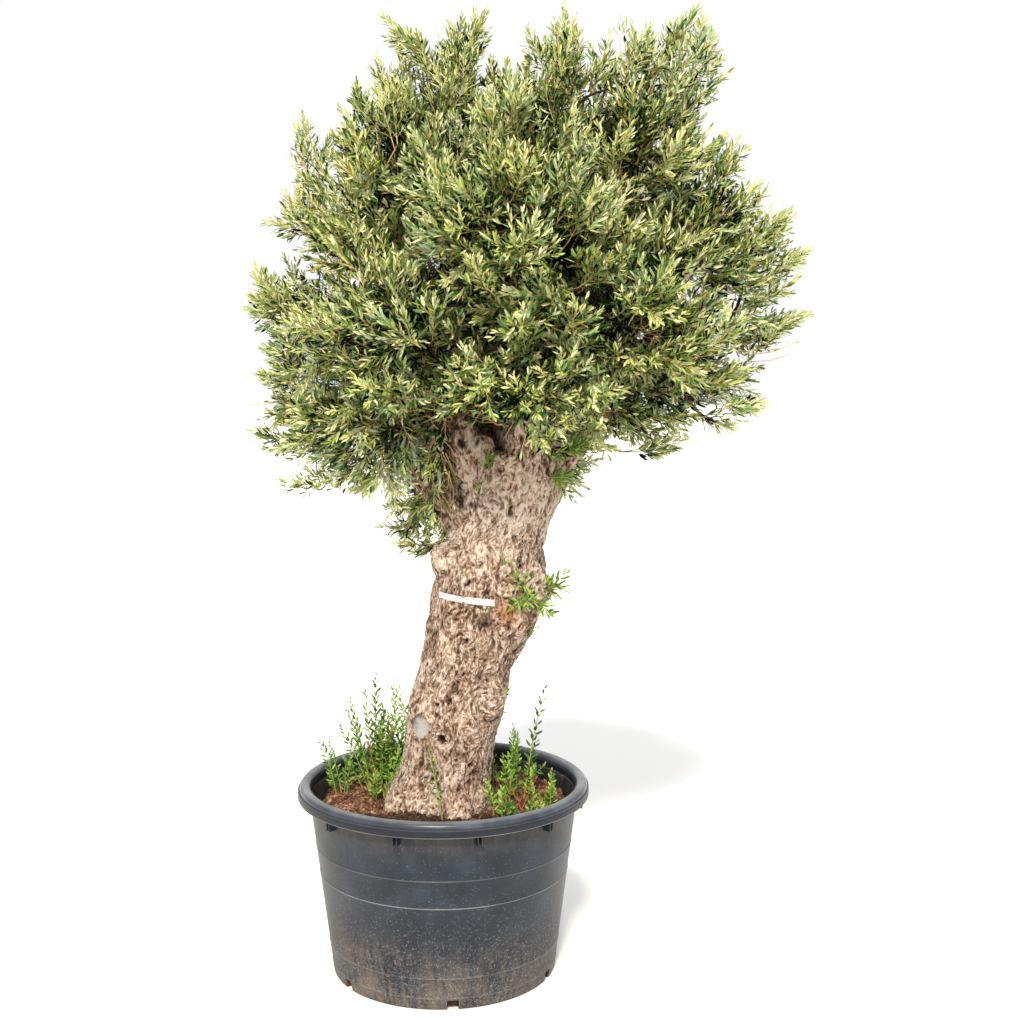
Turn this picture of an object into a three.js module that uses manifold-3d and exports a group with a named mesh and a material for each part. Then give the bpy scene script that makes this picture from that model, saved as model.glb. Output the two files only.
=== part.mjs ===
// A potted olive tree: an old leaning trunk, its boughs and the masses of foliage they carry,
// in a round nursery pot filled with soil.
// Millimetres, +Z up, front towards -Y. The origin is the centre of the pot's flat underside.

import * as THREE from 'three';
import { mergeVertices } from 'three/addons/utils/BufferGeometryUtils.js';
import { ImprovedNoise } from 'three/addons/math/ImprovedNoise.js';
import Module from 'manifold-3d';

const wasm = await Module();
wasm.setup();
const { Manifold, Mesh } = wasm;

// Clearance left between two pieces that touch or lie in one another.
const CLEARANCE = 0.5;

const POT = {
  height: 430,
  rimRadius: 325,
  rimHeight: 32,
  rimRound: 8,
  lipWidth: 6,
  neckRadius: 299,
  baseRadius: 250,
  wall: 4,
  floor: 5,
  segments: 30,
};

// Drainage notches in the foot of the wall, and gussets between the wall and the rolled rim.
const NOTCH = { count: 6, first: 2, width: 25, height: 22, depth: 24 };
const GUSSET = { count: 10, first: 15, width: 9, reach: 14, drop: 24, sunk: 2 };

// The soil is level under the trunk and heaped in a low, uneven ring round it.
const SOIL = { level: 352, mound: 20, flatRadius: 176, ridgeRadius: 235, grain: 70 };

// The trunk's outline at heights above the pot's underside: centre, half width and half depth.
const TRUNK = {
  sides: 16,
  rings: 15,
  ripple: 0.05,
  grain: 75,
  roots: 5,
  rootSpread: 0.1,
  rootHeight: 70,
  stations: [
    { z: SOIL.level + CLEARANCE, x: -22, y: 0, wide: 128, deep: 124 },
    { z: 400, x: -12, y: 0, wide: 112, deep: 108 },
    { z: 470, x: 6, y: -2, wide: 100, deep: 98 },
    { z: 550, x: 20, y: -4, wide: 103, deep: 96 },
    { z: 615, x: 34, y: -5, wide: 107, deep: 97 },
    { z: 665, x: 43, y: -6, wide: 99, deep: 97 },
    { z: 750, x: 78, y: -7, wide: 112, deep: 103 },
    { z: 860, x: 102, y: -8, wide: 125, deep: 108 },
    { z: 945, x: 110, y: -8, wide: 109, deep: 100 },
    { z: 1010, x: 133, y: -6, wide: 103, deep: 98 },
    { z: 1090, x: 156, y: -2, wide: 115, deep: 104 },
    { z: 1165, x: 160, y: 0, wide: 118, deep: 106 },
  ],
};

// Every bough runs from a point in the trunk, bends past a second point and ends in a mass.
// Its girth is its radius at the trunk and at its end.
const BOUGHS = {
  bough_low_left: {
    from: [88, -45, 890], past: [0, -55, 1120], girth: [35, 27], into: 'foliage_left_lower',
  },
  bough_left: {
    from: [100, -30, 1040], past: [68, -50, 1250], girth: [56, 32], into: 'foliage_left_middle',
  },
  bough_right: {
    from: [200, -10, 1080], past: [270, -20, 1270], girth: [66, 40], into: 'foliage_right_lower',
  },
  bough_centre: {
    from: [160, 20, 1090], past: [165, 30, 1400], girth: [58, 34], into: 'foliage_top_middle',
  },
  bough_back_left: {
    from: [120, 50, 1090], past: [60, 130, 1290], girth: [46, 28], into: 'foliage_back_left',
  },
  bough_back_right: {
    from: [195, 55, 1090], past: [270, 140, 1290], girth: [50, 30], into: 'foliage_back_right',
  },
  bough_front: {
    from: [175, -45, 1090], past: [195, -120, 1330], girth: [42, 28], into: 'foliage_front_upper',
  },
};

const BOUGH_SHAPE = { sides: 8, rings: 4, ripple: 0.08, grain: 60, socket: 24 };

// Leafy masses: centre, radii along X, Y and Z, and the points that their longest shoots reach.
const MASSES = {
  foliage_top_left: {
    at: [-85, -20, 1815], radii: [160, 235, 160], detail: 3,
    tips: [
      [-109, 0, 2090], [54, 0, 2088], [-299, 0, 1882], [-290, 0, 1765], [-45, 0, 2045],
      [-120, -205, 1935], [-60, 205, 1945],
    ],
  },
  foliage_top_middle: {
    at: [185, -10, 1830], radii: [175, 245, 165], detail: 3,
    tips: [[258, 0, 2102], [96, 0, 2085], [343, 0, 2042], [150, -215, 1955], [210, 215, 1975]],
  },
  foliage_top_right: {
    at: [430, -10, 1840], radii: [145, 235, 145], detail: 3,
    tips: [[537, 0, 2112], [617, 0, 1985], [396, 0, 2068], [460, -200, 1940], [430, 205, 1945]],
  },
  foliage_right_upper: {
    at: [550, 0, 1660], radii: [145, 220, 150], detail: 3,
    tips: [[651, 0, 1809], [702, 0, 1712], [766, 0, 1668], [786, 0, 1597], [755, 0, 1530]],
  },
  foliage_right_lower: {
    at: [530, -20, 1400], radii: [160, 220, 160], detail: 3,
    tips: [[794, 0, 1456], [713, 0, 1265], [650, 0, 1218], [728, 0, 1512], [700, 0, 1360]],
  },
  foliage_low_right: {
    at: [390, -60, 1250], radii: [130, 180, 95], detail: 2,
    tips: [[529, 0, 1160], [331, 0, 1083], [434, 0, 1154], [275, -40, 1160]],
  },
  foliage_left_upper: {
    at: [-200, 0, 1660], radii: [130, 225, 110], detail: 2,
    tips: [[-374, 0, 1657], [-338, 0, 1724]],
  },
  foliage_left_middle: {
    at: [-210, -20, 1440], radii: [160, 210, 132], detail: 3,
    tips: [[-405, 0, 1562], [-428, 0, 1481], [-337, 0, 1592], [-395, 0, 1345]],
  },
  foliage_left_lower: {
    at: [-175, -30, 1230], radii: [185, 210, 130], detail: 3,
    tips: [[-423, 0, 1212], [-358, 0, 1095], [-395, 0, 1318], [35, -30, 1150]],
  },
  foliage_hanging: {
    at: [-55, -20, 1060], radii: [80, 110, 105], detail: 2,
    tips: [[-53, 0, 928], [-140, 0, 1032]],
  },
  foliage_front_upper: {
    at: [170, -320, 1630], radii: [230, 175, 195], detail: 2,
    tips: [[110, -350, 1870], [270, -430, 1790], [160, -560, 1610]],
  },
  foliage_front_left: {
    at: [-90, -285, 1455], radii: [180, 165, 180], detail: 2,
    tips: [[-130, -470, 1510], [-170, -390, 1330]],
  },
  foliage_front_lower: {
    at: [160, -290, 1330], radii: [180, 150, 115], detail: 2,
    tips: [[110, -480, 1300], [240, -420, 1215]],
  },
  foliage_front_right: {
    at: [405, -290, 1475], radii: [180, 160, 180], detail: 2,
    tips: [[470, -480, 1520], [520, -380, 1350]],
  },
  foliage_back_upper: {
    at: [170, 310, 1690], radii: [255, 190, 210], detail: 2,
    tips: [[230, 350, 1925], [60, 430, 1840], [180, 565, 1640]],
  },
  foliage_back_left: {
    at: [-95, 290, 1440], radii: [185, 180, 190], detail: 2,
    tips: [[-170, 490, 1490], [-190, 400, 1270]],
  },
  foliage_back_right: {
    at: [405, 295, 1460], radii: [195, 180, 195], detail: 2,
    tips: [[500, 480, 1530], [560, 400, 1330]],
  },
  foliage_back_lower: {
    at: [160, 300, 1245], radii: [185, 145, 105], detail: 2,
    tips: [[160, 480, 1230], [250, 380, 1120]],
  },
};

const MASS_SHAPE = { ripple: 0.16, grain: 1.9, shootWidth: 0.24 };

// A plain tag strip laid round the trunk's front, sloping down to the right.
const TAG = { x: 50, z: 846, length: 118, width: 20, reach: 300, thick: 1.6, slope: 7 };

const COLOURS = {
  bark: 0x9a8470,
  leaf: 0x76834d,
  plastic: 0x474e58,
  soil: 0x6b4a35,
  tag: 0xe9ebec,
};

const noise = new ImprovedNoise();

function material(colour, roughness) {
  return new THREE.MeshStandardMaterial({ color: colour, roughness, metalness: 0 });
}

// Joins the vertices that a geometry repeats along its seams, so that its surface is closed.
function sealed(geometry) {
  geometry.deleteAttribute('normal');
  geometry.deleteAttribute('uv');
  return mergeVertices(geometry, 1e-3);
}

function solidOf(geometry) {
  const closed = sealed(geometry.clone());
  return new Manifold(new Mesh({
    numProp: 3,
    vertProperties: new Float32Array(closed.attributes.position.array),
    triVerts: new Uint32Array(closed.index.array),
  }));
}

function geometryOf(solid) {
  const { vertProperties, triVerts } = solid.getMesh();
  const geometry = new THREE.BufferGeometry();
  geometry.setAttribute('position', new THREE.BufferAttribute(vertProperties, 3));
  geometry.setIndex(new THREE.BufferAttribute(triVerts, 1));
  geometry.computeVertexNormals();
  return geometry;
}

function largestBody(solid) {
  return solid.decompose().reduce((a, b) => (b.volume() > a.volume() ? b : a));
}

// Moves each vertex of a geometry to the place that a function gives for it.
function reshape(geometry, placeOf) {
  const position = geometry.attributes.position;
  const point = new THREE.Vector3();
  for (let i = 0; i < position.count; i += 1) {
    point.fromBufferAttribute(position, i);
    placeOf(point);
    position.setXYZ(i, point.x, point.y, point.z);
  }
  return geometry;
}

// Pot

function neckRadiusAt(z) {
  return THREE.MathUtils.mapLinear(z, 0, POT.height - POT.rimHeight, POT.baseRadius, POT.neckRadius);
}

function potShell() {
  const top = POT.height;
  const skirt = top - POT.rimHeight;
  const under = top - POT.rimRound;
  const inner = neckRadiusAt(under) - POT.wall;
  const profile = new THREE.Path();
  profile.moveTo(0, 0);
  profile.lineTo(POT.baseRadius, 0);
  profile.lineTo(neckRadiusAt(under), under);
  profile.lineTo(POT.rimRadius - POT.lipWidth, under);
  profile.lineTo(POT.rimRadius - POT.lipWidth, skirt);
  profile.lineTo(POT.rimRadius, skirt);
  profile.lineTo(POT.rimRadius, top - POT.rimRound);
  profile.lineTo(POT.rimRadius - POT.rimRound, top);
  profile.lineTo(inner + POT.rimRound, top);
  profile.lineTo(inner, under);
  profile.lineTo(neckRadiusAt(POT.floor) - POT.wall, POT.floor);
  profile.lineTo(0, POT.floor);
  return new THREE.LatheGeometry(profile.getPoints(1), POT.segments).rotateX(Math.PI / 2);
}

// A block turned round the pot's axis to face outwards at an angle from the front.
function blockRound([width, depth, height], degrees, radius, z) {
  const block = new THREE.BoxGeometry(width, depth, height).translate(0, -radius, z);
  return solidOf(block.rotateZ(THREE.MathUtils.degToRad(degrees)));
}

function pot() {
  let shell = solidOf(potShell());
  const top = POT.height - POT.rimRound + GUSSET.sunk / 2;
  const bottom = POT.height - POT.rimHeight - GUSSET.drop;
  const size = [GUSSET.width, GUSSET.reach + GUSSET.sunk, top - bottom];
  const radius = neckRadiusAt(top) - GUSSET.sunk + size[1] / 2;
  for (let i = 0; i < GUSSET.count; i += 1) {
    const degrees = GUSSET.first + (i * 360) / GUSSET.count;
    shell = shell.add(blockRound(size, degrees, radius, (top + bottom) / 2));
  }
  for (let i = 0; i < NOTCH.count; i += 1) {
    const degrees = NOTCH.first + (i * 360) / NOTCH.count;
    const cutter = [NOTCH.width, NOTCH.depth, NOTCH.height * 2];
    shell = shell.subtract(blockRound(cutter, degrees, POT.baseRadius, 0));
  }
  return geometryOf(shell);
}

// Soil

function soil() {
  const bottom = POT.floor + CLEARANCE;
  const edge = (z) => neckRadiusAt(z) - POT.wall - CLEARANCE;
  const profile = [
    [0, bottom], [edge(bottom), bottom], [edge(SOIL.level), SOIL.level],
    [SOIL.ridgeRadius, SOIL.level], [SOIL.flatRadius, SOIL.level], [0, SOIL.level],
  ].map(([r, z]) => new THREE.Vector2(r, z));
  const geometry = new THREE.LatheGeometry(profile, POT.segments).rotateX(Math.PI / 2);
  return sealed(reshape(geometry, (p) => {
    const isMound = p.z > SOIL.level - 1 && Math.hypot(p.x, p.y) > SOIL.flatRadius + 1;
    if (isMound) p.z += SOIL.mound * (0.6 + noise.noise(p.x / SOIL.grain, p.y / SOIL.grain, 0.5));
  }));
}

// Trunk and boughs

const trunkCurves = Object.fromEntries(['x', 'y', 'wide', 'deep'].map((key) => (
  [key, new THREE.SplineCurve(TRUNK.stations.map((s) => new THREE.Vector2(s.z, s[key])))]
)));

// The trunk's centre and half sizes at a height, by a smooth curve through its stations.
function trunkOutline(z) {
  const { stations } = TRUNK;
  const last = stations.length - 1;
  let i = 0;
  while (i < last - 1 && z > stations[i + 1].z) i += 1;
  const along = i + (z - stations[i].z) / (stations[i + 1].z - stations[i].z);
  return Object.fromEntries(Object.entries(trunkCurves).map(([key, curve]) => (
    [key, curve.getPoint(along / last).y]
  )));
}

function trunk(grow = 0) {
  const bottom = TRUNK.stations[0].z;
  const top = TRUNK.stations.at(-1).z;
  const unit = new THREE.CylinderGeometry(1, 1, 1, TRUNK.sides, TRUNK.rings).rotateX(Math.PI / 2);
  return sealed(reshape(unit, (p) => {
    const z = THREE.MathUtils.lerp(bottom, top, p.z + 0.5);
    const outline = trunkOutline(z);
    const angle = Math.atan2(p.y, p.x);
    const spread = TRUNK.rootSpread * Math.exp((bottom - z) / TRUNK.rootHeight);
    const g = TRUNK.grain;
    const ripple = TRUNK.ripple * noise.noise(p.x * outline.wide / g, p.y * outline.deep / g, z / g);
    const swell = 1 + ripple + spread * Math.cos(TRUNK.roots * angle);
    p.x = outline.x + p.x * (outline.wide * swell + grow);
    p.y = outline.y + p.y * (outline.deep * swell + grow);
    p.z = z + Math.sign(p.z) * (Math.abs(p.z) === 0.5 ? grow : 0);
  }));
}

// A tapering limb along a curve, swept to the fraction `reach` of it.
function limb(curve, reach, [thick, thin], grow = 0) {
  const { sides, rings } = BOUGH_SHAPE;
  const route = new THREE.CatmullRomCurve3(
    Array.from({ length: rings + 1 }, (_, i) => curve.getPoint((reach * i) / rings)),
  );
  const frames = route.computeFrenetFrames(rings);
  const unit = new THREE.CylinderGeometry(1, 1, 1, sides, rings).rotateX(Math.PI / 2);
  return sealed(reshape(unit, (p) => {
    const t = p.z + 0.5;
    const ring = Math.round(t * rings);
    const centre = route.getPointAt(ring / rings);
    const radius = THREE.MathUtils.lerp(thick, thin, t);
    const g = BOUGH_SHAPE.grain;
    const across = frames.normals[ring].clone().multiplyScalar(p.x);
    across.addScaledVector(frames.binormals[ring], p.y);
    const ripple = 1 + BOUGH_SHAPE.ripple * noise.noise(
      (centre.x + across.x * radius) / g, (centre.y + across.y * radius) / g, centre.z / g,
    );
    const end = ring === 0 ? -grow : grow * (ring === rings);
    centre.addScaledVector(across, radius * ripple + grow);
    p.copy(centre).addScaledVector(frames.tangents[ring], end);
  }));
}

// Masses

// How far a mass reaches from its centre in a direction.
function massReach(mass, seed, direction) {
  const [rx, ry, rz] = mass.radii;
  const smooth = 1 / Math.hypot(direction.x / rx, direction.y / ry, direction.z / rz);
  const g = MASS_SHAPE.grain;
  const ripple = noise.noise(direction.x * g + seed, direction.y * g - seed, direction.z * g);
  let reach = smooth * (1 + MASS_SHAPE.ripple * ripple);
  for (const tip of mass.tips ?? []) {
    const shoot = new THREE.Vector3(...tip).sub(new THREE.Vector3(...mass.at));
    const turn = direction.angleTo(shoot) / MASS_SHAPE.shootWidth;
    const lobe = Math.exp(-turn * turn);
    reach += Math.max(0, shoot.length() - reach) * lobe;
  }
  return reach;
}

// The ball's vertex directions, with the nearest one to each tip turned to point at it.
function massDirections(mass) {
  const ball = sealed(new THREE.IcosahedronGeometry(1, mass.detail));
  const position = ball.attributes.position;
  const direction = new THREE.Vector3();
  for (const tip of mass.tips ?? []) {
    const shoot = new THREE.Vector3(...tip).sub(new THREE.Vector3(...mass.at)).normalize();
    let nearest = 0;
    let best = -1;
    for (let i = 0; i < position.count; i += 1) {
      const match = direction.fromBufferAttribute(position, i).dot(shoot);
      if (match > best) [nearest, best] = [i, match];
    }
    position.setXYZ(nearest, shoot.x, shoot.y, shoot.z);
  }
  return ball;
}

function foliage(mass, seed, grow = 0) {
  return reshape(massDirections(mass), (p) => {
    p.normalize();
    p.multiplyScalar(massReach(mass, seed, p) + grow);
    p.add(new THREE.Vector3(...mass.at));
  });
}

// The fraction of a bough's curve at which it lies a socket's depth inside its mass.
function entry(curve, mass, seed) {
  const steps = 200;
  const centre = new THREE.Vector3(...mass.at);
  for (let i = 0; i <= steps; i += 1) {
    const offset = curve.getPoint(i / steps).sub(centre);
    const distance = offset.length();
    if (distance < massReach(mass, seed, offset.normalize()) - BOUGH_SHAPE.socket) return i / steps;
  }
  return 1;
}

// Tag

function tag() {
  const strip = new THREE.BoxGeometry(TAG.length, TAG.reach, TAG.width);
  strip.rotateY(THREE.MathUtils.degToRad(TAG.slope)).translate(TAG.x, -TAG.reach / 2, TAG.z);
  const sleeve = solidOf(trunk(CLEARANCE + TAG.thick)).subtract(solidOf(trunk(CLEARANCE)));
  return geometryOf(largestBody(sleeve.intersect(solidOf(strip))));
}

// Assembly

const olive = new THREE.Group();

function put(name, geometry, finish) {
  const mesh = new THREE.Mesh(geometry, finish);
  mesh.name = name;
  olive.add(mesh);
}

const bark = material(COLOURS.bark, 0.9);
const leaf = material(COLOURS.leaf, 0.7);

put('pot', pot(), material(COLOURS.plastic, 0.5));
put('soil', soil(), material(COLOURS.soil, 0.95));
put('trunk', trunk(), bark);
put('tag', tag(), material(COLOURS.tag, 0.4));

// Pieces already standing, each grown by the clearance: what comes later is cut back from them.
const standing = [solidOf(trunk(CLEARANCE))];

function cutBack(geometry) {
  const cut = standing.reduce((rest, solid) => rest.subtract(solid), solidOf(geometry));
  return geometryOf(largestBody(cut));
}

const SEED_STEP = 3.7;
const seeds = Object.fromEntries(Object.keys(MASSES).map((name, i) => [name, i * SEED_STEP]));

for (const [name, { from, past, into, girth }] of Object.entries(BOUGHS)) {
  const mass = MASSES[into];
  const curve = new THREE.QuadraticBezierCurve3(
    new THREE.Vector3(...from), new THREE.Vector3(...past), new THREE.Vector3(...mass.at),
  );
  const reach = entry(curve, mass, seeds[into]);
  put(name, cutBack(limb(curve, reach, girth)), bark);
  standing.push(solidOf(limb(curve, reach, girth, CLEARANCE)));
}

for (const [name, mass] of Object.entries(MASSES)) {
  put(name, cutBack(foliage(mass, seeds[name])), leaf);
  standing.push(solidOf(foliage(mass, seeds[name], CLEARANCE)));
}

export default olive;
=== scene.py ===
"""A potted olive tree: bark, limbs, twigs, leaves, pot, soil and tag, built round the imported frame.

Metres, Z up, the pot's underside at zero and the front of the tree towards -Y.
"""

import math
from functools import partial

import bmesh
import bpy
import numpy as np
from mathutils import Matrix, Vector, noise
from mathutils.bvhtree import BVHTree
from mathutils.kdtree import KDTree


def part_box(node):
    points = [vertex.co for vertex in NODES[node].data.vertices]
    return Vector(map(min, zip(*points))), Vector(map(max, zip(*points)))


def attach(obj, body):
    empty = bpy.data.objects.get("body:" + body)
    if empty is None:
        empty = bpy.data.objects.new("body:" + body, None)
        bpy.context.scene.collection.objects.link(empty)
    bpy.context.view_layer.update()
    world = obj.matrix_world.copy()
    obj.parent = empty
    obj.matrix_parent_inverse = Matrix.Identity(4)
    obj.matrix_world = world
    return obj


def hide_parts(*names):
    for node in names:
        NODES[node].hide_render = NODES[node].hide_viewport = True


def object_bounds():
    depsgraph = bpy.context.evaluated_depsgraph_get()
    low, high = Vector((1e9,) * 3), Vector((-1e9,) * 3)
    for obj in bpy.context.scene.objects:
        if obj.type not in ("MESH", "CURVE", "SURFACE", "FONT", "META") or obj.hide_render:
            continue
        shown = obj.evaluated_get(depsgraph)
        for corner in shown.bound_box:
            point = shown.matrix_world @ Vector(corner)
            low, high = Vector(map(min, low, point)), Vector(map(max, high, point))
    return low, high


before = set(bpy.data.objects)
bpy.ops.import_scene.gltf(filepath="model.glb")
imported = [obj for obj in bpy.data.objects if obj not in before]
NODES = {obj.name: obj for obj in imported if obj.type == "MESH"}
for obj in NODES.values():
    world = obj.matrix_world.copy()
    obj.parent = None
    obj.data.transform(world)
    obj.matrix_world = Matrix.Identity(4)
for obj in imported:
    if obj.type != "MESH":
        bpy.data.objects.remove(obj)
cad_low, cad_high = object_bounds()

MM = 0.001
SEED = 1907
# The vector noise starts from the clock if it isn't given a seed.
noise.seed_set(SEED)
UP = np.array([0.0, 0.0, 1.0])
MASSES = sorted(name for name in NODES if name.startswith("foliage_"))
BOUGHS = sorted(name for name in NODES if name.startswith("bough_"))

# -------- general tools


def linear(hex_colour):
    """An sRGB hex colour as the linear colour that shaders take."""
    parts = [int(hex_colour[k : k + 2], 16) / 255 for k in (1, 3, 5)]
    return [c / 12.92 if c <= 0.04045 else ((c + 0.055) / 1.055) ** 2.4 for c in parts] + [1.0]


def add(tree, kind, inputs=(), stops=(), **settings):
    """Adds one shader node. inputs gives each input a value, or a node or an output of one to follow."""
    node = tree.nodes.new("ShaderNode" + kind)
    for name, value in settings.items():
        setattr(node, name, value)
    for name, value in dict(inputs).items():
        source = value.outputs[0] if isinstance(value, bpy.types.Node) else value
        if isinstance(source, bpy.types.NodeSocket):
            tree.links.new(source, node.inputs[name])
        else:
            node.inputs[name].default_value = source
    for place, (position, value) in enumerate(stops):
        ends = node.color_ramp.elements
        stop = ends[place] if place < 2 else ends.new(position)
        stop.position = position
        stop.color = linear(value) if isinstance(value, str) else (value, value, value, 1.0)
    return node


# The sockets of a node that mixes colours: how much, the colour below, the one above, and what comes out.
AMOUNT, UNDER, OVER, MIXED = 0, 6, 7, 2


def new_material(name):
    """A node material with no nodes yet, and the function that adds nodes to it."""
    material = bpy.data.materials.new(name)
    material.use_nodes = True
    material.node_tree.nodes.clear()
    return material, partial(add, material.node_tree)


def unit(vectors):
    """The same directions with length 1."""
    return vectors / np.maximum(np.linalg.norm(vectors, axis=-1, keepdims=True), 1e-9)


def smooth_step(low, high, value):
    """0 below low, 1 above high and an even curve between."""
    t = np.clip((value - low) / (high - low), 0, 1)
    return t * t * (3 - 2 * t)


def mesh_arrays(obj):
    """A mesh object's points and triangles as arrays."""
    mesh = obj.data
    points = np.zeros(len(mesh.vertices) * 3)
    mesh.vertices.foreach_get("co", points)
    mesh.calc_loop_triangles()
    corners = np.zeros(len(mesh.loop_triangles) * 3, int)
    mesh.loop_triangles.foreach_get("vertices", corners)
    return points.reshape(-1, 3), corners.reshape(-1, 3)


def piece_from_arrays(name, points, faces, materials, picks=None, smooth=True):
    """One joined mesh from arrays of points and of faces that all have the same number of corners."""
    mesh = bpy.data.meshes.new(name)
    count, corners = faces.shape
    mesh.vertices.add(len(points))
    mesh.vertices.foreach_set("co", np.asarray(points, np.float32).ravel())
    mesh.loops.add(count * corners)
    mesh.loops.foreach_set("vertex_index", faces.astype(np.int32).ravel())
    mesh.polygons.add(count)
    mesh.polygons.foreach_set("loop_start", np.arange(0, count * corners, corners, dtype=np.int32))
    if picks is not None:
        mesh.polygons.foreach_set("material_index", picks.astype(np.int32))
    mesh.polygons.foreach_set("use_smooth", np.full(count, smooth))
    mesh.update(calc_edges=True)
    mesh.validate()
    for material in materials:
        mesh.materials.append(material)
    return place(bpy.data.objects.new(name, mesh))


def piece_from_bmesh(name, bm, materials, smooth=True):
    """A finished bmesh as an object in the scene."""
    mesh = bpy.data.meshes.new(name)
    bm.to_mesh(mesh)
    bm.free()
    mesh.polygons.foreach_set("use_smooth", np.full(len(mesh.polygons), smooth))
    for material in materials:
        mesh.materials.append(material)
    return place(bpy.data.objects.new(name, mesh))


def place(obj):
    """Links an object to the scene."""
    bpy.context.scene.collection.objects.link(obj)
    return obj


def applied(obj):
    """Replaces an object's mesh by the one that its modifiers give, and removes them."""
    graph = bpy.context.evaluated_depsgraph_get()
    mesh = bpy.data.meshes.new_from_object(obj.evaluated_get(graph))
    obj.modifiers.clear()
    obj.data = mesh
    return obj


def root_piece(obj, slot, *stands_for):
    """Puts a piece on the one body and hides the CAD nodes that it stands for; slot is not used."""
    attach(obj, "root")
    if stands_for:
        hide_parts(*stands_for)
    return obj


# -------- leaf and twig finishes

# Waxed leaves of an olive, in a yellow green and in a grey green, at levels of painted light: from painted
# deep shade inside the crown to painted sunlight on the young tips.
LEAF_GREENS = [
    # name, yellow green, grey green, how much the wax shines: less on the shaded levels, which paints their
    # shade darker still
    ("olive_shade", "#070d05", "#060d08", 0.05),
    ("olive_deep", "#182a0b", "#152618", 0.15),
    ("olive_mid", "#445b1a", "#3a5835", 0.35),
    ("olive_open", "#849c40", "#759757", 0.50),
    ("olive_light", "#b9c06c", "#a9c085", 0.50),
    ("olive_sunlit_tip", "#e3dda2", "#d6ddb0", 0.50),
]
LEAF_ODD = [
    ("felted_underside", "#a3ac93"),
    ("yellowed", "#b0903c"),
    ("dead_orange", "#7d4c26"),
    # The young shoots' greens, picked by the light on each shoot: painted shade, half light and painted
    # sunlight.
    ("shoot_deep", "#33571f"),
    ("shoot_fresh", "#5f8a2b"),
    ("shoot_pale", "#98b552"),
]
SHADES = len(LEAF_GREENS)
# The finishes' places in their lists. Each shade of green has two, yellow and grey.
FELTED, YELLOWED, DEAD, SHOOT_GREENS = range(2 * SHADES, 2 * SHADES + 4)
SUNLIT_STRAW, TAN, SHADED_GREY_BROWN, DRY_ORANGE, GREEN_STEM = range(5)


def plain_finish(name, colour, roughness, specular=0.5):
    """A plain base colour on a Principled shader, so that the joined leaves keep it as it is."""
    material, node = new_material(name)
    shader = node(
        "BsdfPrincipled",
        {"Base Color": linear(colour), "Roughness": roughness, "Specular IOR Level": specular},
    )
    node("OutputMaterial", {"Surface": shader})
    return material


def leaf_finishes():
    """Leathery olive leaves. The wax on the upper side gives a soft sheen, and the felt below none. The
    greens are levels of painted light and shade.
    """
    made = []
    for name, yellow, grey, shine in LEAF_GREENS:
        made.append(plain_finish("leaf_" + name + "_yellow", yellow, 0.42, shine))
        made.append(plain_finish("leaf_" + name + "_grey", grey, 0.42, shine))
    for name, colour in LEAF_ODD:
        made.append(plain_finish("leaf_" + name, colour, 0.75, 0.3))
    return made


LEAVES = leaf_finishes()
# Straw, tan and grey brown are partly the wood's own colours and partly painted light and shade: stems are
# sunlit straw, half shaded tan or shaded grey brown by the light on their spray, and the dark grey brown
# with little shine stands for the crown's shade.
TWIGS = [
    plain_finish("twig_sunlit_straw", "#cbb873", 0.55),
    plain_finish("twig_tan", "#a88a52", 0.7),
    plain_finish("twig_grey_brown_shaded", "#3c3228", 0.85, 0.1),
    plain_finish("twig_dry_orange", "#a2632f", 0.8),
    plain_finish("twig_shoot_green", "#8a9448", 0.55),
]

# -------- where the crown's sprays stand

CROWN_HEART = np.array([0.185, 0.0, 1.42])
LAYERS = [
    # gap between sprays, depth of the tip below the skin, stem length, how much deeper the hollows go
    {"gap": 0.049, "depth": (0.004, 0.028), "length": (0.090, 0.140), "clump": 0.065},
    {"gap": 0.064, "depth": (0.065, 0.115), "length": (0.090, 0.135), "clump": 0.03},
    {"gap": 0.088, "depth": (0.130, 0.200), "length": (0.080, 0.120), "clump": 0.0},
]
# How much light reaches a spray, by how deep its tip lies below the open skin. It is painted into the
# spray's leaves and stems as painted shade and light.
LIGHT_DEPTHS = [0.0, 0.030, 0.062, 0.095, 0.150]
LIGHT_SHARES = [1.05, 0.95, 0.46, 0.14, 0.00]
# Trial points on a square metre of skin, and how much wider the gaps are than the layers ask.
SKIN_POINTS = 4200
GAP_SCALE = 1.0
# The light on leading shoots, on the outline's shoots and on those in the shade, and how much more there is
# at the top of the crown, from one height to another. All of it is painted into the finishes as light and
# shade.
LEADER_LIGHT, OUTLINE_LIGHT, SHADE_LIGHT = 1.04, 1.02, 0.12
TOP_LIGHT = {"more": 0.07, "heights": (1.65, 1.95)}
# Clumps of sprays and the hollows between them: how many to a metre.
CLUMPS = 15
FILL_LENGTH = (0.09, 0.13)
LEADER = {"length": (0.13, 0.19), "cone": 30, "stand": 1.06}
STRAY = {"gap": 0.115, "proud": (-0.012, 0.006), "length": (0.12, 0.17)}
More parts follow.
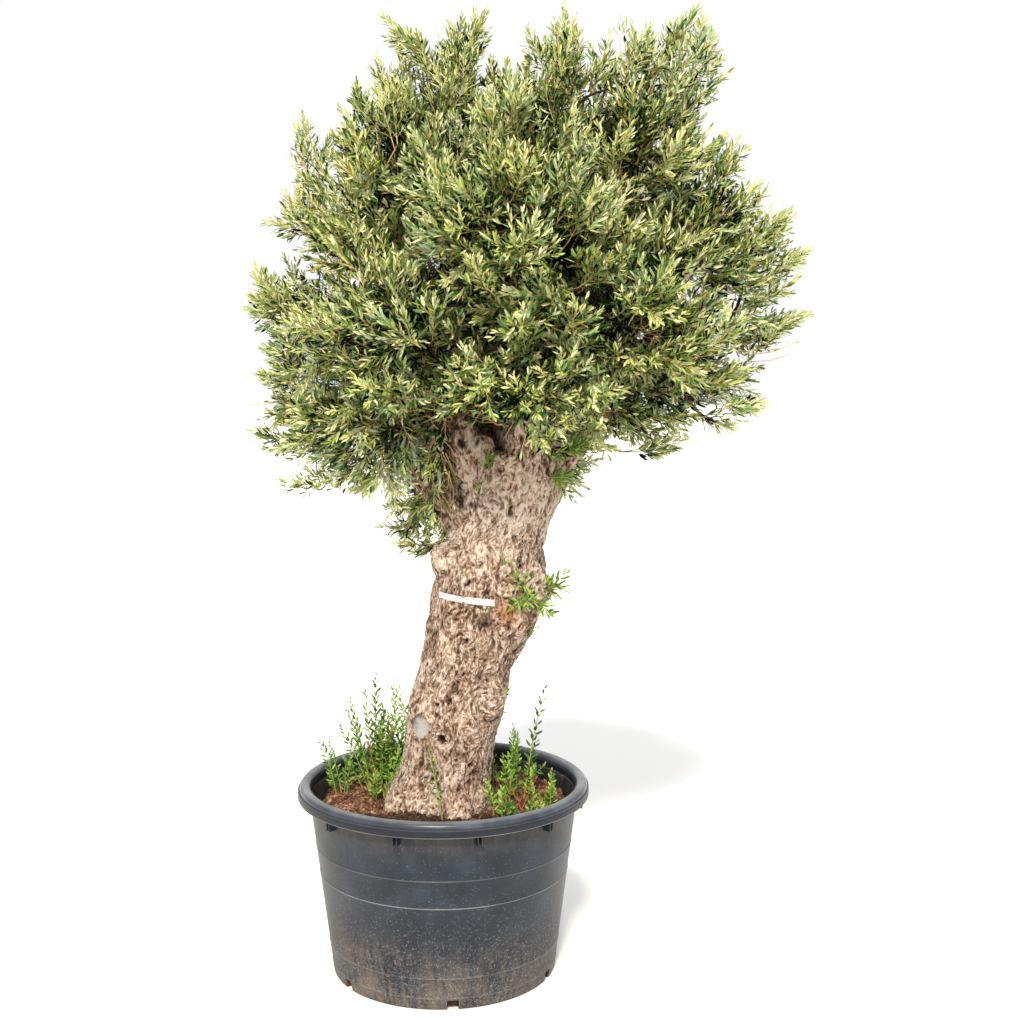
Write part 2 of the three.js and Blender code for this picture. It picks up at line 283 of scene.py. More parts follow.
# The longest shoots of the crown's outline, in mm: x and z of the tip, and x and z a little way back.
OUTLINE_SHOOTS = [
    (-120, 2088, -60, 2032), (-94, 2070, -48, 2018), (-60, 2050, -30, 1995), (106, 1998, 106, 1940),
    (149, 1995, 147, 1940), (185, 1993, 182, 1940), (60, 2096, 50, 2000), (106, 2092, 66, 2010),
    (15, 2066, 24, 2000), (-132, 2003, -112, 1930), (-148, 1980, -105, 1935), (-168, 1952, -158, 1890),
    (-88, 2010, -75, 1940), (-212, 1900, -185, 1850), (-288, 1884, -275, 1800), (-230, 1836, -250, 1790),
    (-332, 1724, -305, 1670), (-300, 1727, -285, 1670), (-376, 1655, -310, 1640), (-300, 1775, -270, 1740),
    (188, 2058, 212, 2000), (256, 2103, 250, 2000), (356, 2054, 338, 1980), (378, 2004, 352, 1950),
    (400, 2066, 411, 1980), (446, 2066, 436, 1980), (546, 2108, 500, 2020), (526, 2080, 478, 2000),
    (528, 2035, 500, 1970), (618, 1986, 545, 1920), (585, 1965, 540, 1900), (566, 1872, 522, 1830),
    (602, 1840, 572, 1800), (636, 1832, 610, 1770), (622, 1815, 596, 1760), (661, 1803, 610, 1760),
    (676, 1745, 640, 1700), (704, 1724, 665, 1670), (746, 1682, 700, 1640), (766, 1660, 700, 1624),
    (790, 1600, 730, 1560), (766, 1548, 712, 1510), (794, 1466, 735, 1432), (768, 1448, 705, 1420),
    (725, 1535, 665, 1520), (682, 1312, 620, 1322), (712, 1266, 630, 1250), (690, 1256, 630, 1262),
    (640, 1215, 590, 1235), (530, 1190, 460, 1175), (512, 1168, 450, 1165), (345, 1152, 285, 1135),
    (-396, 1562, -362, 1505), (-332, 1584, -308, 1525), (-296, 1572, -220, 1560), (-410, 1503, -360, 1475),
    (-423, 1476, -360, 1455), (-378, 1420, -335, 1395), (-398, 1334, -350, 1318), (-378, 1247, -335, 1230),
    (-414, 1216, -360, 1195), (-345, 1205, -290, 1200), (-300, 1188, -250, 1195), (-386, 1164, -340, 1165),
    (-358, 1110, -300, 1095), (-300, 1128, -262, 1105), (-195, 1082, -160, 1100), (-138, 1006, -95, 1000),
    (-108, 968, -65, 965), (-55, 938, -20, 960), (-122, 1042, -85, 1045), (-380, 1340, -330, 1335),
    (-388, 1375, -340, 1370), (-385, 1392, -335, 1385), (-370, 1180, -320, 1185), (-330, 1160, -280, 1165),
    (-290, 1150, -240, 1160), (-262, 1130, -210, 1150), (-240, 1120, -190, 1140), (-4, 958, 0, 1020),
    (-37, 945, -25, 1010), (-92, 960, -70, 1010), (-59, 990, -40, 1050), (-22, 1000, -10, 1050),
    (-81, 1012, -50, 1060), (262, 2090, 255, 2020), (38, 2085, 35, 2010), (95, 2085, 70, 2020),
    (440, 2052, 432, 1990), (-298, 1862, -285, 1790), (-310, 1740, -280, 1690), (-180, 1938, -160, 1880),
    (-400, 1548, -360, 1500), (540, 1225, 480, 1235), (505, 1205, 450, 1215), (480, 1235, 430, 1240),
    (700, 1270, 650, 1262), (330, 1140, 280, 1150), (318, 1118, 270, 1140), (785, 1455, 730, 1440),
    (-372, 1362, -325, 1355), (-75, 2040, -30, 1985), (-40, 2050, -20, 1990), (235, 2060, 240, 1990),
    (272, 2075, 262, 2000), (345, 2010, 325, 1950), (365, 1995, 345, 1930), (515, 2075, 470, 2000),
    (720, 1480, 660, 1470), (735, 1520, 670, 1500), (715, 1545, 650, 1525), (672, 1345, 610, 1335),
    (655, 1325, 600, 1310), (40, 2025, 42, 1955), (72, 2005, 70, 1940), (785, 1603, 725, 1575),
    (700, 1450, 640, 1440), (716, 1414, 655, 1405), (568, 1245, 510, 1252), (322, 1092, 272, 1120),
    (306, 1072, 262, 1110), (345, 1165, 300, 1180), (-270, 1098, -215, 1115), (-235, 1090, -190, 1115),
]
# Shoots that hang in the shade behind the low left bough, given in the same way, and how far back. Their
# leaves are painted dark: painted shade.
SHADE_SHOOTS = [
    (34, 1056, 31, 1130), (26, 1066, 27, 1140), (12, 1092, 14, 1160), (45, 1090, 35, 1150),
    (15, 1118, 20, 1180), (40, 1130, 35, 1190),
]
SHADE_BEHIND = 0.12
# Where the crown is open right through, in mm: x and z of the middle, half width and half height.
OPENINGS = [
    (-285, 1578, 85, 17), (-186, 1527, 17, 16), (-380, 1612, 45, 18), (-140, 2035, 45, 40),
    (-200, 1955, 32, 30), (-245, 1880, 26, 30), (-330, 1830, 30, 50), (140, 2055, 30, 28),
    (316, 2075, 28, 75), (377, 2030, 17, 34), (471, 2038, 18, 30), (607, 2072, 34, 66),
    (630, 1895, 72, 45), (640, 1945, 60, 30), (602, 1908, 50, 36), (645, 1753, 32, 19),
    (748, 1728, 22, 14), (768, 1486, 34, 19), (800, 1540, 22, 30), (752, 1367, 82, 30),
    (625, 1366, 40, 12), (452, 1414, 36, 17), (532, 1493, 24, 8), (356, 1247, 32, 12),
    (372, 1188, 26, 12), (440, 1121, 110, 29), (625, 1175, 80, 28), (462, 1822, 13, 13),
    (300, 1200, 30, 16), (-300, 1052, 110, 24), (-190, 1045, 50, 22), (-80, 1060, 20, 10),
    (-395, 1272, 34, 33), (-400, 1160, 20, 14),
]
# Where the wood is free of leaves in front of it, given in the same way.
BARE_WOOD = [
    (105, 1150, 115, 90), (150, 1020, 110, 120), (30, 1045, 42, 75), (60, 1225, 60, 30),
]
# Where more sprays close a hollow in the crown's front, given in the same way, and how many.
FRONT_FILL = [(195, 1455, 75, 95, 18), (300, 1330, 60, 50, 8)]
# How near an opening a spray's tip, middle and foot may come: a share of the stem back from its tip, and
# a limit in half widths of the opening.
OPENING_TESTS = [(0.0, 1.1), (0.35, 1.0), (0.85, 0.85)]
# Where the camera stands. The lists above hold for the view from there.
EYE = {"x": 0.153, "away": 3.2, "z": 1.40}


def crown_masses():
    """Each foliage mass of the frame as arrays, with a tree to ask which side of its skin a point is on."""
    made = []
    for name in MASSES:
        points, triangles = mesh_arrays(NODES[name])
        tree = BVHTree.FromPolygons(points.tolist(), triangles.tolist())
        made.append(
            {
                "name": name,
                "points": points,
                "triangles": triangles,
                "tree": tree,
                "low": points.min(0),
                "high": points.max(0),
                "centre": points.mean(0),
            }
        )
    return made


def is_inside(mass, point):
    """True if a point is inside a mass."""
    if np.any(point < mass["low"]) or np.any(point > mass["high"]):
        return False
    spot, normal, _, _ = mass["tree"].find_nearest(Vector(point))
    return (Vector(point) - spot).dot(normal) < 0


def open_skin(masses, rng, density):
    """Points and normals all over the crown's free outside, but not where two masses meet."""
    spots, normals, owners = [], [], []
    for number, mass in enumerate(masses):
        a, b, c = (mass["points"][mass["triangles"][:, k]] for k in range(3))
        cross = np.cross(b - a, c - a)
        area = np.linalg.norm(cross, axis=1) / 2
        count = int(area.sum() * density)
        pick = rng.choice(len(area), count, p=area / area.sum())
        u, v = rng.random(count), rng.random(count)
        over = u + v > 1
        u[over], v[over] = 1 - u[over], 1 - v[over]
        spot = a[pick] + (b - a)[pick] * u[:, None] + (c - a)[pick] * v[:, None]
        normal = unit(cross[pick])
        others = [m for m in masses if m is not mass]
        for p, n in zip(spot, normal):
            probe = p + n * 0.012
            if not any(is_inside(m, probe) for m in others):
                spots.append(p)
                normals.append(n)
                owners.append(number)
    return np.array(spots), np.array(normals), np.array(owners)


def thinned(points, gap, order):
    """Indices of points, taken in the given order, that keep at least gap between them."""
    cells, kept = {}, []
    for k in order:
        home = tuple(np.floor(points[k] / gap).astype(int))
        near = (
            cells.get((home[0] + i, home[1] + j, home[2] + l), ())
            for i in (-1, 0, 1)
            for j in (-1, 0, 1)
            for l in (-1, 0, 1)
        )
        if all(np.linalg.norm(points[k] - points[q]) >= gap for cell in near for q in cell):
            cells.setdefault(home, []).append(k)
            kept.append(k)
    return np.array(kept)


# How much shoots rise to the light at the crown's foot and further up, where the two heights are, and how
# much at most where the skin faces down by a share.
LIFT = {"least": -0.12, "more": 0.75, "heights": (1.02, 1.45), "under": 0.12, "facing": -0.45}


def shoot_headings(spots, normals, rng):
    """Which way shoots point: outwards and up to the light, level or drooping on the crown's underside."""
    outward = unit(unit(spots - CROWN_HEART) + normals * 0.8)
    lift = LIFT["least"] + LIFT["more"] * smooth_step(*LIFT["heights"], spots[:, 2])
    lift = np.where(normals[:, 2] < LIFT["facing"], np.minimum(lift, LIFT["under"]), lift)
    return unit(outward + UP * lift[:, None] + rng.normal(0, 0.24, spots.shape))


# What stands behind the wood counts as this far from its edge.
FAR_AWAY = 9


def through_openings(spots):
    """How near each place is to the middle of an opening, and of a bare stretch of wood: 1 on its edge."""
    nearer = EYE["away"] / (EYE["away"] + spots[:, 1])
    x = EYE["x"] + (spots[:, 0] - EYE["x"]) * nearer
    z = EYE["z"] + (spots[:, 2] - EYE["z"]) * nearer
    nearest = []
    for ovals in (np.array(OPENINGS) / 1000, np.array(BARE_WOOD) / 1000):
        away = [((x - cx) / wide) ** 2 + ((z - cz) / tall) ** 2 for cx, cz, wide, tall in ovals]
        nearest.append(np.min(away, axis=0))
    in_front = np.where(spots[:, 1] < 0.04, nearest[1], FAR_AWAY**2)
    return np.sqrt(nearest[0]), np.sqrt(in_front)


def outline_tips(masses, rng):
    """The outline's own long shoots: tips, headings, lengths and the mass that each belongs to."""
    tips, headings, lengths, owners = [], [], [], []
    centres = np.array([mass["centre"] for mass in masses])
    rows = [(row, 0.0) for row in OUTLINE_SHOOTS] + [(row, SHADE_BEHIND) for row in SHADE_SHOOTS]
    for row, behind in rows:
        x, z, back_x, back_z = np.array(row) / 1000
        y = behind + rng.uniform(-0.05, 0.05)
        along = np.array([x - back_x, rng.uniform(-0.012, 0.012), z - back_z])
        further = 1 + y / EYE["away"]
        x = EYE["x"] + (x - EYE["x"]) * further
        z = EYE["z"] + (z - EYE["z"]) * further
        tips.append((x, y, z))
        headings.append(unit(along))
        lengths.append(np.linalg.norm(along) + rng.uniform(0.03, 0.06))
        owners.append(int(np.linalg.norm((centres - [x, y, z]) * [1, 0.6, 1], axis=1).argmin()))
    return np.array(tips), np.array(headings), np.array(lengths), np.array(owners)


def leader_tips(masses):
    """The corners of each mass that stand furthest out in front and behind: leading shoots end there."""
    tips, headings, owners = [], [], []
    for number, mass in enumerate(masses):
        points = np.unique(np.round(mass["points"], 5), axis=0)
        arms = points - mass["centre"]
        reach = np.linalg.norm(arms, axis=1)
        away = arms / reach[:, None]
        near = away @ away.T > math.cos(math.radians(LEADER["cone"]))
        others = [m for m in masses if m is not mass]
        for k in range(len(points)):
            around = reach[near[k]]
            if reach[k] < around.max() - 1e-6 or reach[k] < LEADER["stand"] * around.mean():
                continue
            if any(is_inside(m, points[k] + away[k] * 0.03) for m in others) or abs(away[k][1]) < 0.35:
                continue
            tips.append(points[k])
            headings.append(away[k])
            owners.append(number)
    return np.array(tips), np.array(headings), np.array(owners)


def front_fill_tips(masses, rng):
    """Tips of sprays just behind the crown's front skin, where the front would show bare limbs."""
    tips, owners = [], []
    for *oval, count in FRONT_FILL:
        cx, cz, wide, tall = np.array(oval) / 1000
        for _ in range(count):
            turn, out = rng.uniform(0, 2 * math.pi), math.sqrt(rng.random())
            x, z = cx + wide * out * math.cos(turn), cz + tall * out * math.sin(turn)
            hits = [mass["tree"].ray_cast(Vector((x, -1.0, z)), Vector((0, 1, 0)))[0] for mass in masses]
            depths = [9.0 if hit is None else hit.y for hit in hits]
            tips.append((x, min(depths) + rng.uniform(0.02, 0.07), z))
            owners.append(int(np.argmin(depths)))
    return np.array(tips), np.array(owners)


def plan_sprays(masses, rng):
    """Every spray's tip, heading, stem length, light and mass."""
    plan = {key: [] for key in "tip heading length light mass leader outer".split()}

    def take(tips, headings, lengths, owners, leader):
        """Adds sprays to the plan, each lit by how far its tip is from the open skin."""
        depth = np.array([near.find(Vector(tip))[2] for tip in tips])
        light = LEADER_LIGHT if leader else np.interp(depth, LIGHT_DEPTHS, LIGHT_SHARES)
        rows = {"tip": tips, "heading": headings, "length": lengths, "mass": owners}
        rows.update(light=light * np.ones(len(tips)), leader=np.full(len(tips), leader))
        rows.update(outer=np.full(len(tips), False))
        for key, value in rows.items():
            plan[key].append(value)

    skin, normals, owners = open_skin(masses, rng, SKIN_POINTS)
    near = KDTree(len(skin))
    for number, spot in enumerate(skin):
        near.insert(spot, number)
    near.balance()
    for layer in LAYERS:
        gap = layer["gap"] * GAP_SCALE
        clump = np.array([0.5 + 0.5 * noise.noise(Vector(p) * CLUMPS) for p in skin])
        depth = rng.uniform(*layer["depth"], len(skin)) + layer["clump"] * clump
        inward = unit(normals + 0.7 * unit(skin - CROWN_HEART))
        spots = skin - inward * depth[:, None]
        kept = thinned(spots, gap, rng.permutation(len(spots)))
        headings = shoot_headings(spots[kept], normals[kept], rng)
        lengths = rng.uniform(*layer["length"], len(kept))
        take(spots[kept], headings, lengths, owners[kept], False)
    stray = rng.permutation(len(skin))[: int(len(skin) * 0.5)]
    stray = stray[thinned(skin[stray], STRAY["gap"], range(len(stray)))]
    proud = rng.uniform(*STRAY["proud"], len(stray))
    room = np.min(np.minimum(skin[stray] - cad_low, np.array(cad_high) - skin[stray]), axis=1)
    spots = skin[stray] + normals[stray] * np.minimum(proud, np.maximum(room, 0))[:, None]
    headings = shoot_headings(spots, normals[stray], rng)
    take(spots, headings, rng.uniform(*STRAY["length"], len(stray)), owners[stray], True)
    tips, owner = front_fill_tips(masses, rng)
    headings = shoot_headings(tips, np.tile([0.0, -1.0, 0.0], (len(tips), 1)), rng)
    take(tips, headings, rng.uniform(*FILL_LENGTH, len(tips)), owner, False)
    tips, away, owner = leader_tips(masses)
    lift = 0.35 * smooth_step(1.1, 1.5, tips[:, 2])
    headings = unit(away + unit(tips - CROWN_HEART) + UP * lift[:, None])
    take(tips, headings, rng.uniform(*LEADER["length"], len(tips)), owner, True)
    whole = {key: np.concatenate(value) for key, value in plan.items()}
    clear = np.full(len(whole["tip"]), True)
    for back, limit in OPENING_TESTS:
        spots = whole["tip"] - whole["heading"] * whole["length"][:, None] * back
        clear = clear & (np.minimum(*through_openings(spots)) > limit)
    whole = {key: value[clear] for key, value in whole.items()}
    higher = smooth_step(*TOP_LIGHT["heights"], whole["tip"][:, 2])
    whole["light"] = whole["light"] + TOP_LIGHT["more"] * higher
    tips, headings, lengths, owner = outline_tips(masses, rng)
    light = np.where(tips[:, 1] > SHADE_BEHIND / 2, SHADE_LIGHT, OUTLINE_LIGHT)
    extra = {"tip": tips, "heading": headings, "length": lengths, "light": light}
    extra.update(mass=owner, leader=np.full(len(tips), True), outer=np.full(len(tips), True))
    return {key: np.concatenate([whole[key], extra[key]]) for key in whole}


# -------- limbs that reach every spray

GROWTH = {"step": 0.024, "reach": 0.034, "rounds": 160, "inertia": 0.35, "wander": 0.10}
# A limb's girth follows the number of sprays that it carries, from the radius for one.
ONE_SPRAY_RADIUS = 1.25 * MM
FORK_POWER = 2.35
# Thick limbs start with the girth of their bough and lose it over a length, in metres.
BOUGH_START = {"share": 0.93, "fade": 0.085, "load": (20, 150)}
# The least radius of bare limbs, which are grey bark, and of grey brown twigs, whose dark is painted shade.
# Below that they are tan.
LIMB_RADIUS, TWIG_RADIUS = 6 * MM, 3 * MM
# How many sides a limb of at least a given radius has.
LIMB_SIDES = [(14 * MM, 12), (LIMB_RADIUS, 8), (TWIG_RADIUS, 5), (0.0, 3)]


def bough_ends():
    """Where each bough of the frame stops in the foliage: its end's middle, its heading and its girth."""
    ends = []
    for name in BOUGHS:
        points, _ = mesh_arrays(NODES[name])
        axis = unit(points[points[:, 2].argmax()] - points[points[:, 2].argmin()])
        along = points @ axis
        top = points[along > along.max() - 0.012]
        lower = points[(along < along.max() - 0.06) & (along > along.max() - 0.14)]
        middle = top.mean(0)
        heading = unit(middle - (lower.mean(0) if len(lower) else points.mean(0)))
        girth = np.linalg.norm(np.cross(top - middle, heading), axis=1).max()
        ends.append((middle, heading, girth))
    return ends


def grow_limbs(ends, targets, rng):
    """Grows limbs in short steps from the bough ends. Each step leans to the sprays it is nearest to."""
    points = [end[0] - end[1] * 0.03 for end in ends]
    parents = [-1] * len(points)
    headings = [end[1] for end in ends]
    served_by = np.full(len(targets), -1)
    nearest = np.full(len(targets), -1)
    distance = np.full(len(targets), np.inf)
    fresh = list(range(len(points)))
    for _ in range(GROWTH["rounds"]):
        waiting = np.flatnonzero(served_by < 0)
        if not len(waiting) or not fresh:
            break
        gap = np.linalg.norm(targets[waiting, None] - np.array([points[k] for k in fresh])[None], axis=2)
        best = gap.argmin(1)
        closer = gap[np.arange(len(waiting)), best] < distance[waiting]
        distance[waiting[closer]] = gap[closer, best[closer]]
        nearest[waiting[closer]] = np.array(fresh)[best[closer]]
        arrived = waiting[distance[waiting] < GROWTH["reach"]]
        served_by[arrived] = nearest[arrived]
        waiting = np.flatnonzero(served_by < 0)
        fresh = []
        for k in np.unique(nearest[waiting]):
            mine = waiting[nearest[waiting] == k]
            pull = unit(targets[mine] - points[k]).mean(0)
            heading = unit(pull + headings[k] * GROWTH["inertia"] + rng.normal(0, GROWTH["wander"], 3))
            spot = points[k] + heading * GROWTH["step"]
            siblings = [c for c in range(max(0, len(points) - 3000), len(points)) if parents[c] == k]
            if any(np.linalg.norm(points[c] - spot) < GROWTH["step"] * 0.35 for c in siblings):
                served_by[mine] = k
                continue
            points.append(spot)
            parents.append(int(k))
            headings.append(heading)
            fresh.append(len(points) - 1)
    late = served_by < 0
    served_by[late] = nearest[late]
    return np.array(points), np.array(parents), served_by


def limb_chains(points, parents, tips, starts):
    """The limb tree as runs of points, each from its fork along the thickest child, and all radii."""
    count = len(points)
    load = tips.astype(float).copy()
    for k in range(count - 1, -1, -1):
        if parents[k] >= 0:
            load[parents[k]] += load[k]
    radius = ONE_SPRAY_RADIUS * np.maximum(load, 1) ** (1 / FORK_POWER)
    travelled = np.zeros(count)
    origin = np.arange(count)
    for k in range(count):
        if parents[k] >= 0:
            origin[k] = origin[parents[k]]
            travelled[k] = travelled[parents[k]] + np.linalg.norm(points[k] - points[parents[k]])
    girth = np.array([end[2] for end in starts])
    thick = smooth_step(*BOUGH_START["load"], load)
    swell = girth[origin] * BOUGH_START["share"] * np.exp(-travelled / BOUGH_START["fade"]) * thick
    radius = np.maximum(radius, swell)
    children = [[] for _ in range(count)]
    for k in range(count):
        if parents[k] >= 0:
            children[parents[k]].append(k)
    chains, todo = [], [(None, k) for k in range(len(starts))]
    while todo:
        fork, k = todo.pop()
        run = [] if fork is None else [fork]
        while k is not None:
            run.append(k)
            ordered = sorted(children[k], key=lambda c: -load[c])
            todo.extend((k, c) for c in ordered[1:])
            k = ordered[0] if ordered else None
        chains.append(run)
    return chains, radius


def tube_rings(path, radii, sides, seed_side):
    """Points of a tapering tube along a path, with as little twist as there can be."""
    tangent = unit(np.gradient(path, axis=0))
    side = np.cross(tangent[0], seed_side)
    rings = []
    angles = np.arange(sides) * (2 * math.pi / sides)
    for point, ahead, radius in zip(path, tangent, radii):
        side = side - ahead * (side @ ahead)
        side = side / max(np.linalg.norm(side), 1e-9)
        other = np.cross(ahead, side)
        rings.append(point + radius * (np.outer(np.cos(angles), side) + np.outer(np.sin(angles), other)))
    return np.concatenate(rings)


def tube_faces(rings, sides, first=0):
    """Triangles that join neighbouring rings of a tube, and a fan that shuts its far end."""
    faces = []
    for r in range(rings - 1):
        low, high = first + r * sides, first + (r + 1) * sides
        for k in range(sides):
            n = (k + 1) % sides
            faces += [(low + k, low + n, high + n), (low + k, high + n, high + k)]
    end = first + (rings - 1) * sides
    faces += [(end, end + k, end + k + 1) for k in range(1, sides - 1)]
    return faces


# -------- sprays, stems and leaves

STEM_KEYS = (
    "base start finish length pairs leaf width angle bare light tint roll radius mass spray leader"
).split()


def stems_joined(*tables):
    """Several tables of stems as one."""
    return {key: np.concatenate([t[key] for t in tables]) for key in STEM_KEYS}


def stem_points(stems, share):
    """Where each stem is, and which way it runs, at a share of its length."""
    turn = stems["finish"] - stems["start"]
    share = np.asarray(share)[..., None]
    length = stems["length"][:, None]
    spot = stems["base"] + length * (stems["start"] * share + turn * share**2 / 2)
    return spot, unit(stems["start"] + turn * share)


# Between one pair of leaves and the next, on main stems and on side stems.
MAIN_GAP = (8.8 * MM, 11.8 * MM)
SIDE_GAP = (9.2 * MM, 12.6 * MM)
# Leaves stand closer on the outline's shoots and on leading ones.
OUTER_CLOSER, LEADER_CLOSER = 0.62, 0.74
# A leaf's mean length and how much it varies, its width to its length, and its angle to the stem.
LEAF_LENGTH = (27.4 * MM, 2.2 * MM)
LEAF_SLIM = (0.235, 0.290)
LEAF_ANGLE = (0.62, 0.95)
STEM_RADIUS = 1.45 * MM
STEM_SIDES = 3


def main_stems(plan, bases, incoming, rng):
    """One stem up the middle of each spray, which bends from its twig's run to the spray's heading."""
    count = len(bases)
    length = plan["length"]
    closer = np.where(plan["outer"], OUTER_CLOSER, np.where(plan["leader"], LEADER_CLOSER, 1.0))
    gap = rng.uniform(*MAIN_GAP, count) * closer
    pairs = np.maximum(5, (length / gap).astype(int))
    return {
        "base": bases,
        "start": unit(incoming * np.where(plan["outer"], 0.2, 1.0)[:, None] + plan["heading"]),
        "finish": plan["heading"],
        "length": length,
        "pairs": pairs,
        "leaf": rng.normal(*LEAF_LENGTH, count) * np.where(plan["leader"], 0.96, 1.0),
        "width": rng.uniform(*LEAF_SLIM, count),
        "angle": rng.uniform(*LEAF_ANGLE, count) * np.where(plan["leader"], 0.85, 1.0),
        "bare": np.where(plan["leader"], 0.10, 0.05),
        "light": plan["light"] + rng.normal(0, 0.13, count) * (plan["light"] > 0.2),
        "tint": rng.random(count),
        "roll": rng.uniform(0, math.pi, count),
        "radius": np.full(count, STEM_RADIUS),
        "mass": plan["mass"],
        "spray": np.arange(count),
        "leader": plan["leader"].astype(float) + plan["outer"],
    }


# Where side stems spring, as a share of the main stem, and the chance of each.
SIDE_STEMS = [(0.10, 0.72), (0.26, 0.62), (0.42, 0.42), (0.56, 0.22)]


def side_stems(mains, leader, rng):
    """Side stems in pairs up each main stem, shorter towards its tip."""
    tables = []
    for level, (share, chance) in enumerate(SIDE_STEMS):
        for side in (-1, 1):
            here = rng.random(len(leader)) < np.where(leader, chance + 0.22, chance)
            stems = {key: mains[key][here] for key in STEM_KEYS}
            count = int(here.sum())
            at = share + rng.uniform(-0.04, 0.04, count)
            spot, along = stem_points(stems, at)
            about = rng.normal(0, 1, (count, 3)) * 0.5 + UP * (level % 2) + [0, 1, 0]
            across = unit(np.cross(along, about))
            spread = rng.uniform(0.55, 0.95, count)[:, None]
            start = np.cos(spread) * along + np.sin(spread) * across * side
            length = stems["length"] * (0.78 - 0.62 * at) * rng.uniform(0.75, 1.2, count)
            length = length * np.where(stems["leader"] > 1.5, 0.62, 1.0)
            towards = start * 0.7 + stems["finish"] * 0.55 + UP * 0.15
            stems.update(
                base=spot,
                start=start,
                finish=unit(towards + rng.normal(0, 0.12, start.shape)),
                length=length,
                pairs=np.maximum(3, (length / rng.uniform(*SIDE_GAP, count)).astype(int)),
                leaf=stems["leaf"] * rng.uniform(0.8, 1.0, count),
                # Side stems low on a main stem are painted darker: painted shade.
                light=stems["light"] - 0.30 * (1 - at) * (stems["light"] > 0.2),
                bare=np.full(count, 0.12),
                roll=rng.uniform(0, math.pi, count),
                radius=stems["radius"] * 0.7,
            )
            tables.append(stems)
    return stems_joined(*tables)


LEAF_AGE = [0.0, 0.25, 0.6, 0.85, 1.0]
LEAF_SIZE_BY_AGE = [0.78, 1.0, 1.0, 0.74, 0.46]
LIGHT_FROM = unit(np.array([0.25, -0.45, 0.85]))
# A leaf's outline: along the leaf, across it in half widths, and how far down the edge is rolled.
OUTLINE = np.array(
    [
        (0.00, 0.00, 0.0),
        (0.31, -0.92, 1.0),
        (0.74, -0.86, 1.0),
        (1.00, 0.00, 0.0),
        (0.74, 0.86, 1.0),
        (0.31, 0.92, 1.0),
        (0.52, 0.00, 0.0),
    ]
)
OUTLINE_FACES = np.array([(6, 0, 1), (6, 1, 2), (6, 2, 3), (6, 3, 4), (6, 4, 5), (6, 5, 0)])


def leaves_on(stems, rng, heart=CROWN_HEART):
    """Opposite pairs of leaves up every stem: where each springs, its run, upper side, size and finish."""
    pairs = stems["pairs"]
    owner = np.repeat(np.arange(len(pairs)), pairs)
    rank = np.arange(len(owner)) - np.repeat(np.cumsum(pairs) - pairs, pairs)
    age = (rank + rng.uniform(0.4, 0.9, len(owner))) / pairs[owner]
    bare = stems["bare"][owner]
    table = {key: stems[key][owner] for key in STEM_KEYS}
    spot, along = stem_points(table, bare + (1 - bare) * age)
    first = unit(np.cross(along, np.array([0.31, 0.87, 0.38])))
    second = np.cross(along, first)
    turn = table["roll"] + (rank % 2) * (math.pi / 2) + rng.normal(0, 0.28, len(owner))
    across = first * np.cos(turn)[:, None] + second * np.sin(turn)[:, None]
    made = {key: [] for key in "spot run upper length width mass pick owner".split()}
    for side in (-1, 1):
        spread = table["angle"] * (1 - 0.62 * age**2) + rng.normal(0, 0.13, len(owner))
        lean = across * side
        ahead, aside = np.cos(spread)[:, None], np.sin(spread)[:, None]
        run = unit(along * ahead + lean * aside + rng.normal(0, 0.07, lean.shape))
        lit = LIGHT_FROM * rng.uniform(0.15, 1.0, (len(owner), 1))
        upper = along * aside - lean * ahead + lit + rng.normal(0, 0.18, lean.shape)
        upper = unit(upper - run * (upper * run).sum(1)[:, None])
        length = table["leaf"] * np.interp(age, LEAF_AGE, LEAF_SIZE_BY_AGE)
        length = length * rng.uniform(0.82, 1.14, len(owner))
        seen_from = unit(unit(spot - heart) + UP * 0.4)
        pick = leaf_finish_picks(table, age, (upper * seen_from).sum(1), rng)
        lost = rng.random(len(owner)) < 0.05
        opening, bare_wood = through_openings(spot + run * length[:, None] * 0.5)
        shut = ((opening < 0.92) | (bare_wood < 0.92)) & (table["leader"] < 1.5)
        keep = ~lost & ~(shut & (rng.random(len(owner)) < 0.95))
        made["spot"].append((spot + run * table["radius"][:, None])[keep])
        made["run"].append(run[keep])
        made["upper"].append(upper[keep])
        made["length"].append(length[keep])
        made["width"].append((length * table["width"])[keep])
        made["mass"].append(table["mass"][keep])
        made["pick"].append(pick[keep])
        made["owner"].append(table["spray"][keep])
    return {key: np.concatenate(value) for key, value in made.items()}


# A leaf's green is painted by the light on its spray: it rises with the light, as painted light and shade,
# and towards the tip, and scatters.
SHADE = {"least": -0.34, "light": 2.65, "tip": 2.3, "scatter": 0.95}
# The chance of a grey green in sprays of a grey tint and of a yellow one, and where the tints part.
GREY = {"grey": 0.72, "yellow": 0.18, "tint": 0.42}


def leaf_finish_picks(table, age, facing, rng):
    """Each leaf's finish: its spray's light is painted into the green, and its spray gives the tint; young
    leaves at a lit tip are paler.
    """
    count = len(age)
    light = np.clip(table["light"], 0, 1.3)
    level = SHADE["least"] + SHADE["light"] * light + SHADE["tip"] * age**1.4 * np.clip(light, 0.1, 1)
    level = np.round(level + rng.normal(0, SHADE["scatter"], count))
    level = np.clip(level, 0, np.where(age > 0.75, SHADES - 1, SHADES - 2))
    grey = rng.random(count) < np.where(table["tint"] < GREY["tint"], GREY["grey"], GREY["yellow"])
    pick = level * 2 + grey
    under = (facing < -0.12) & (rng.random(count) < 0.75) & (table["light"] > 0.3)
    pick = np.where(under, FELTED, pick)
    chance = rng.random(count)
    pick = np.where(chance < 0.006, YELLOWED, pick)
    return np.where(chance > 0.9985, DEAD, pick).astype(int)


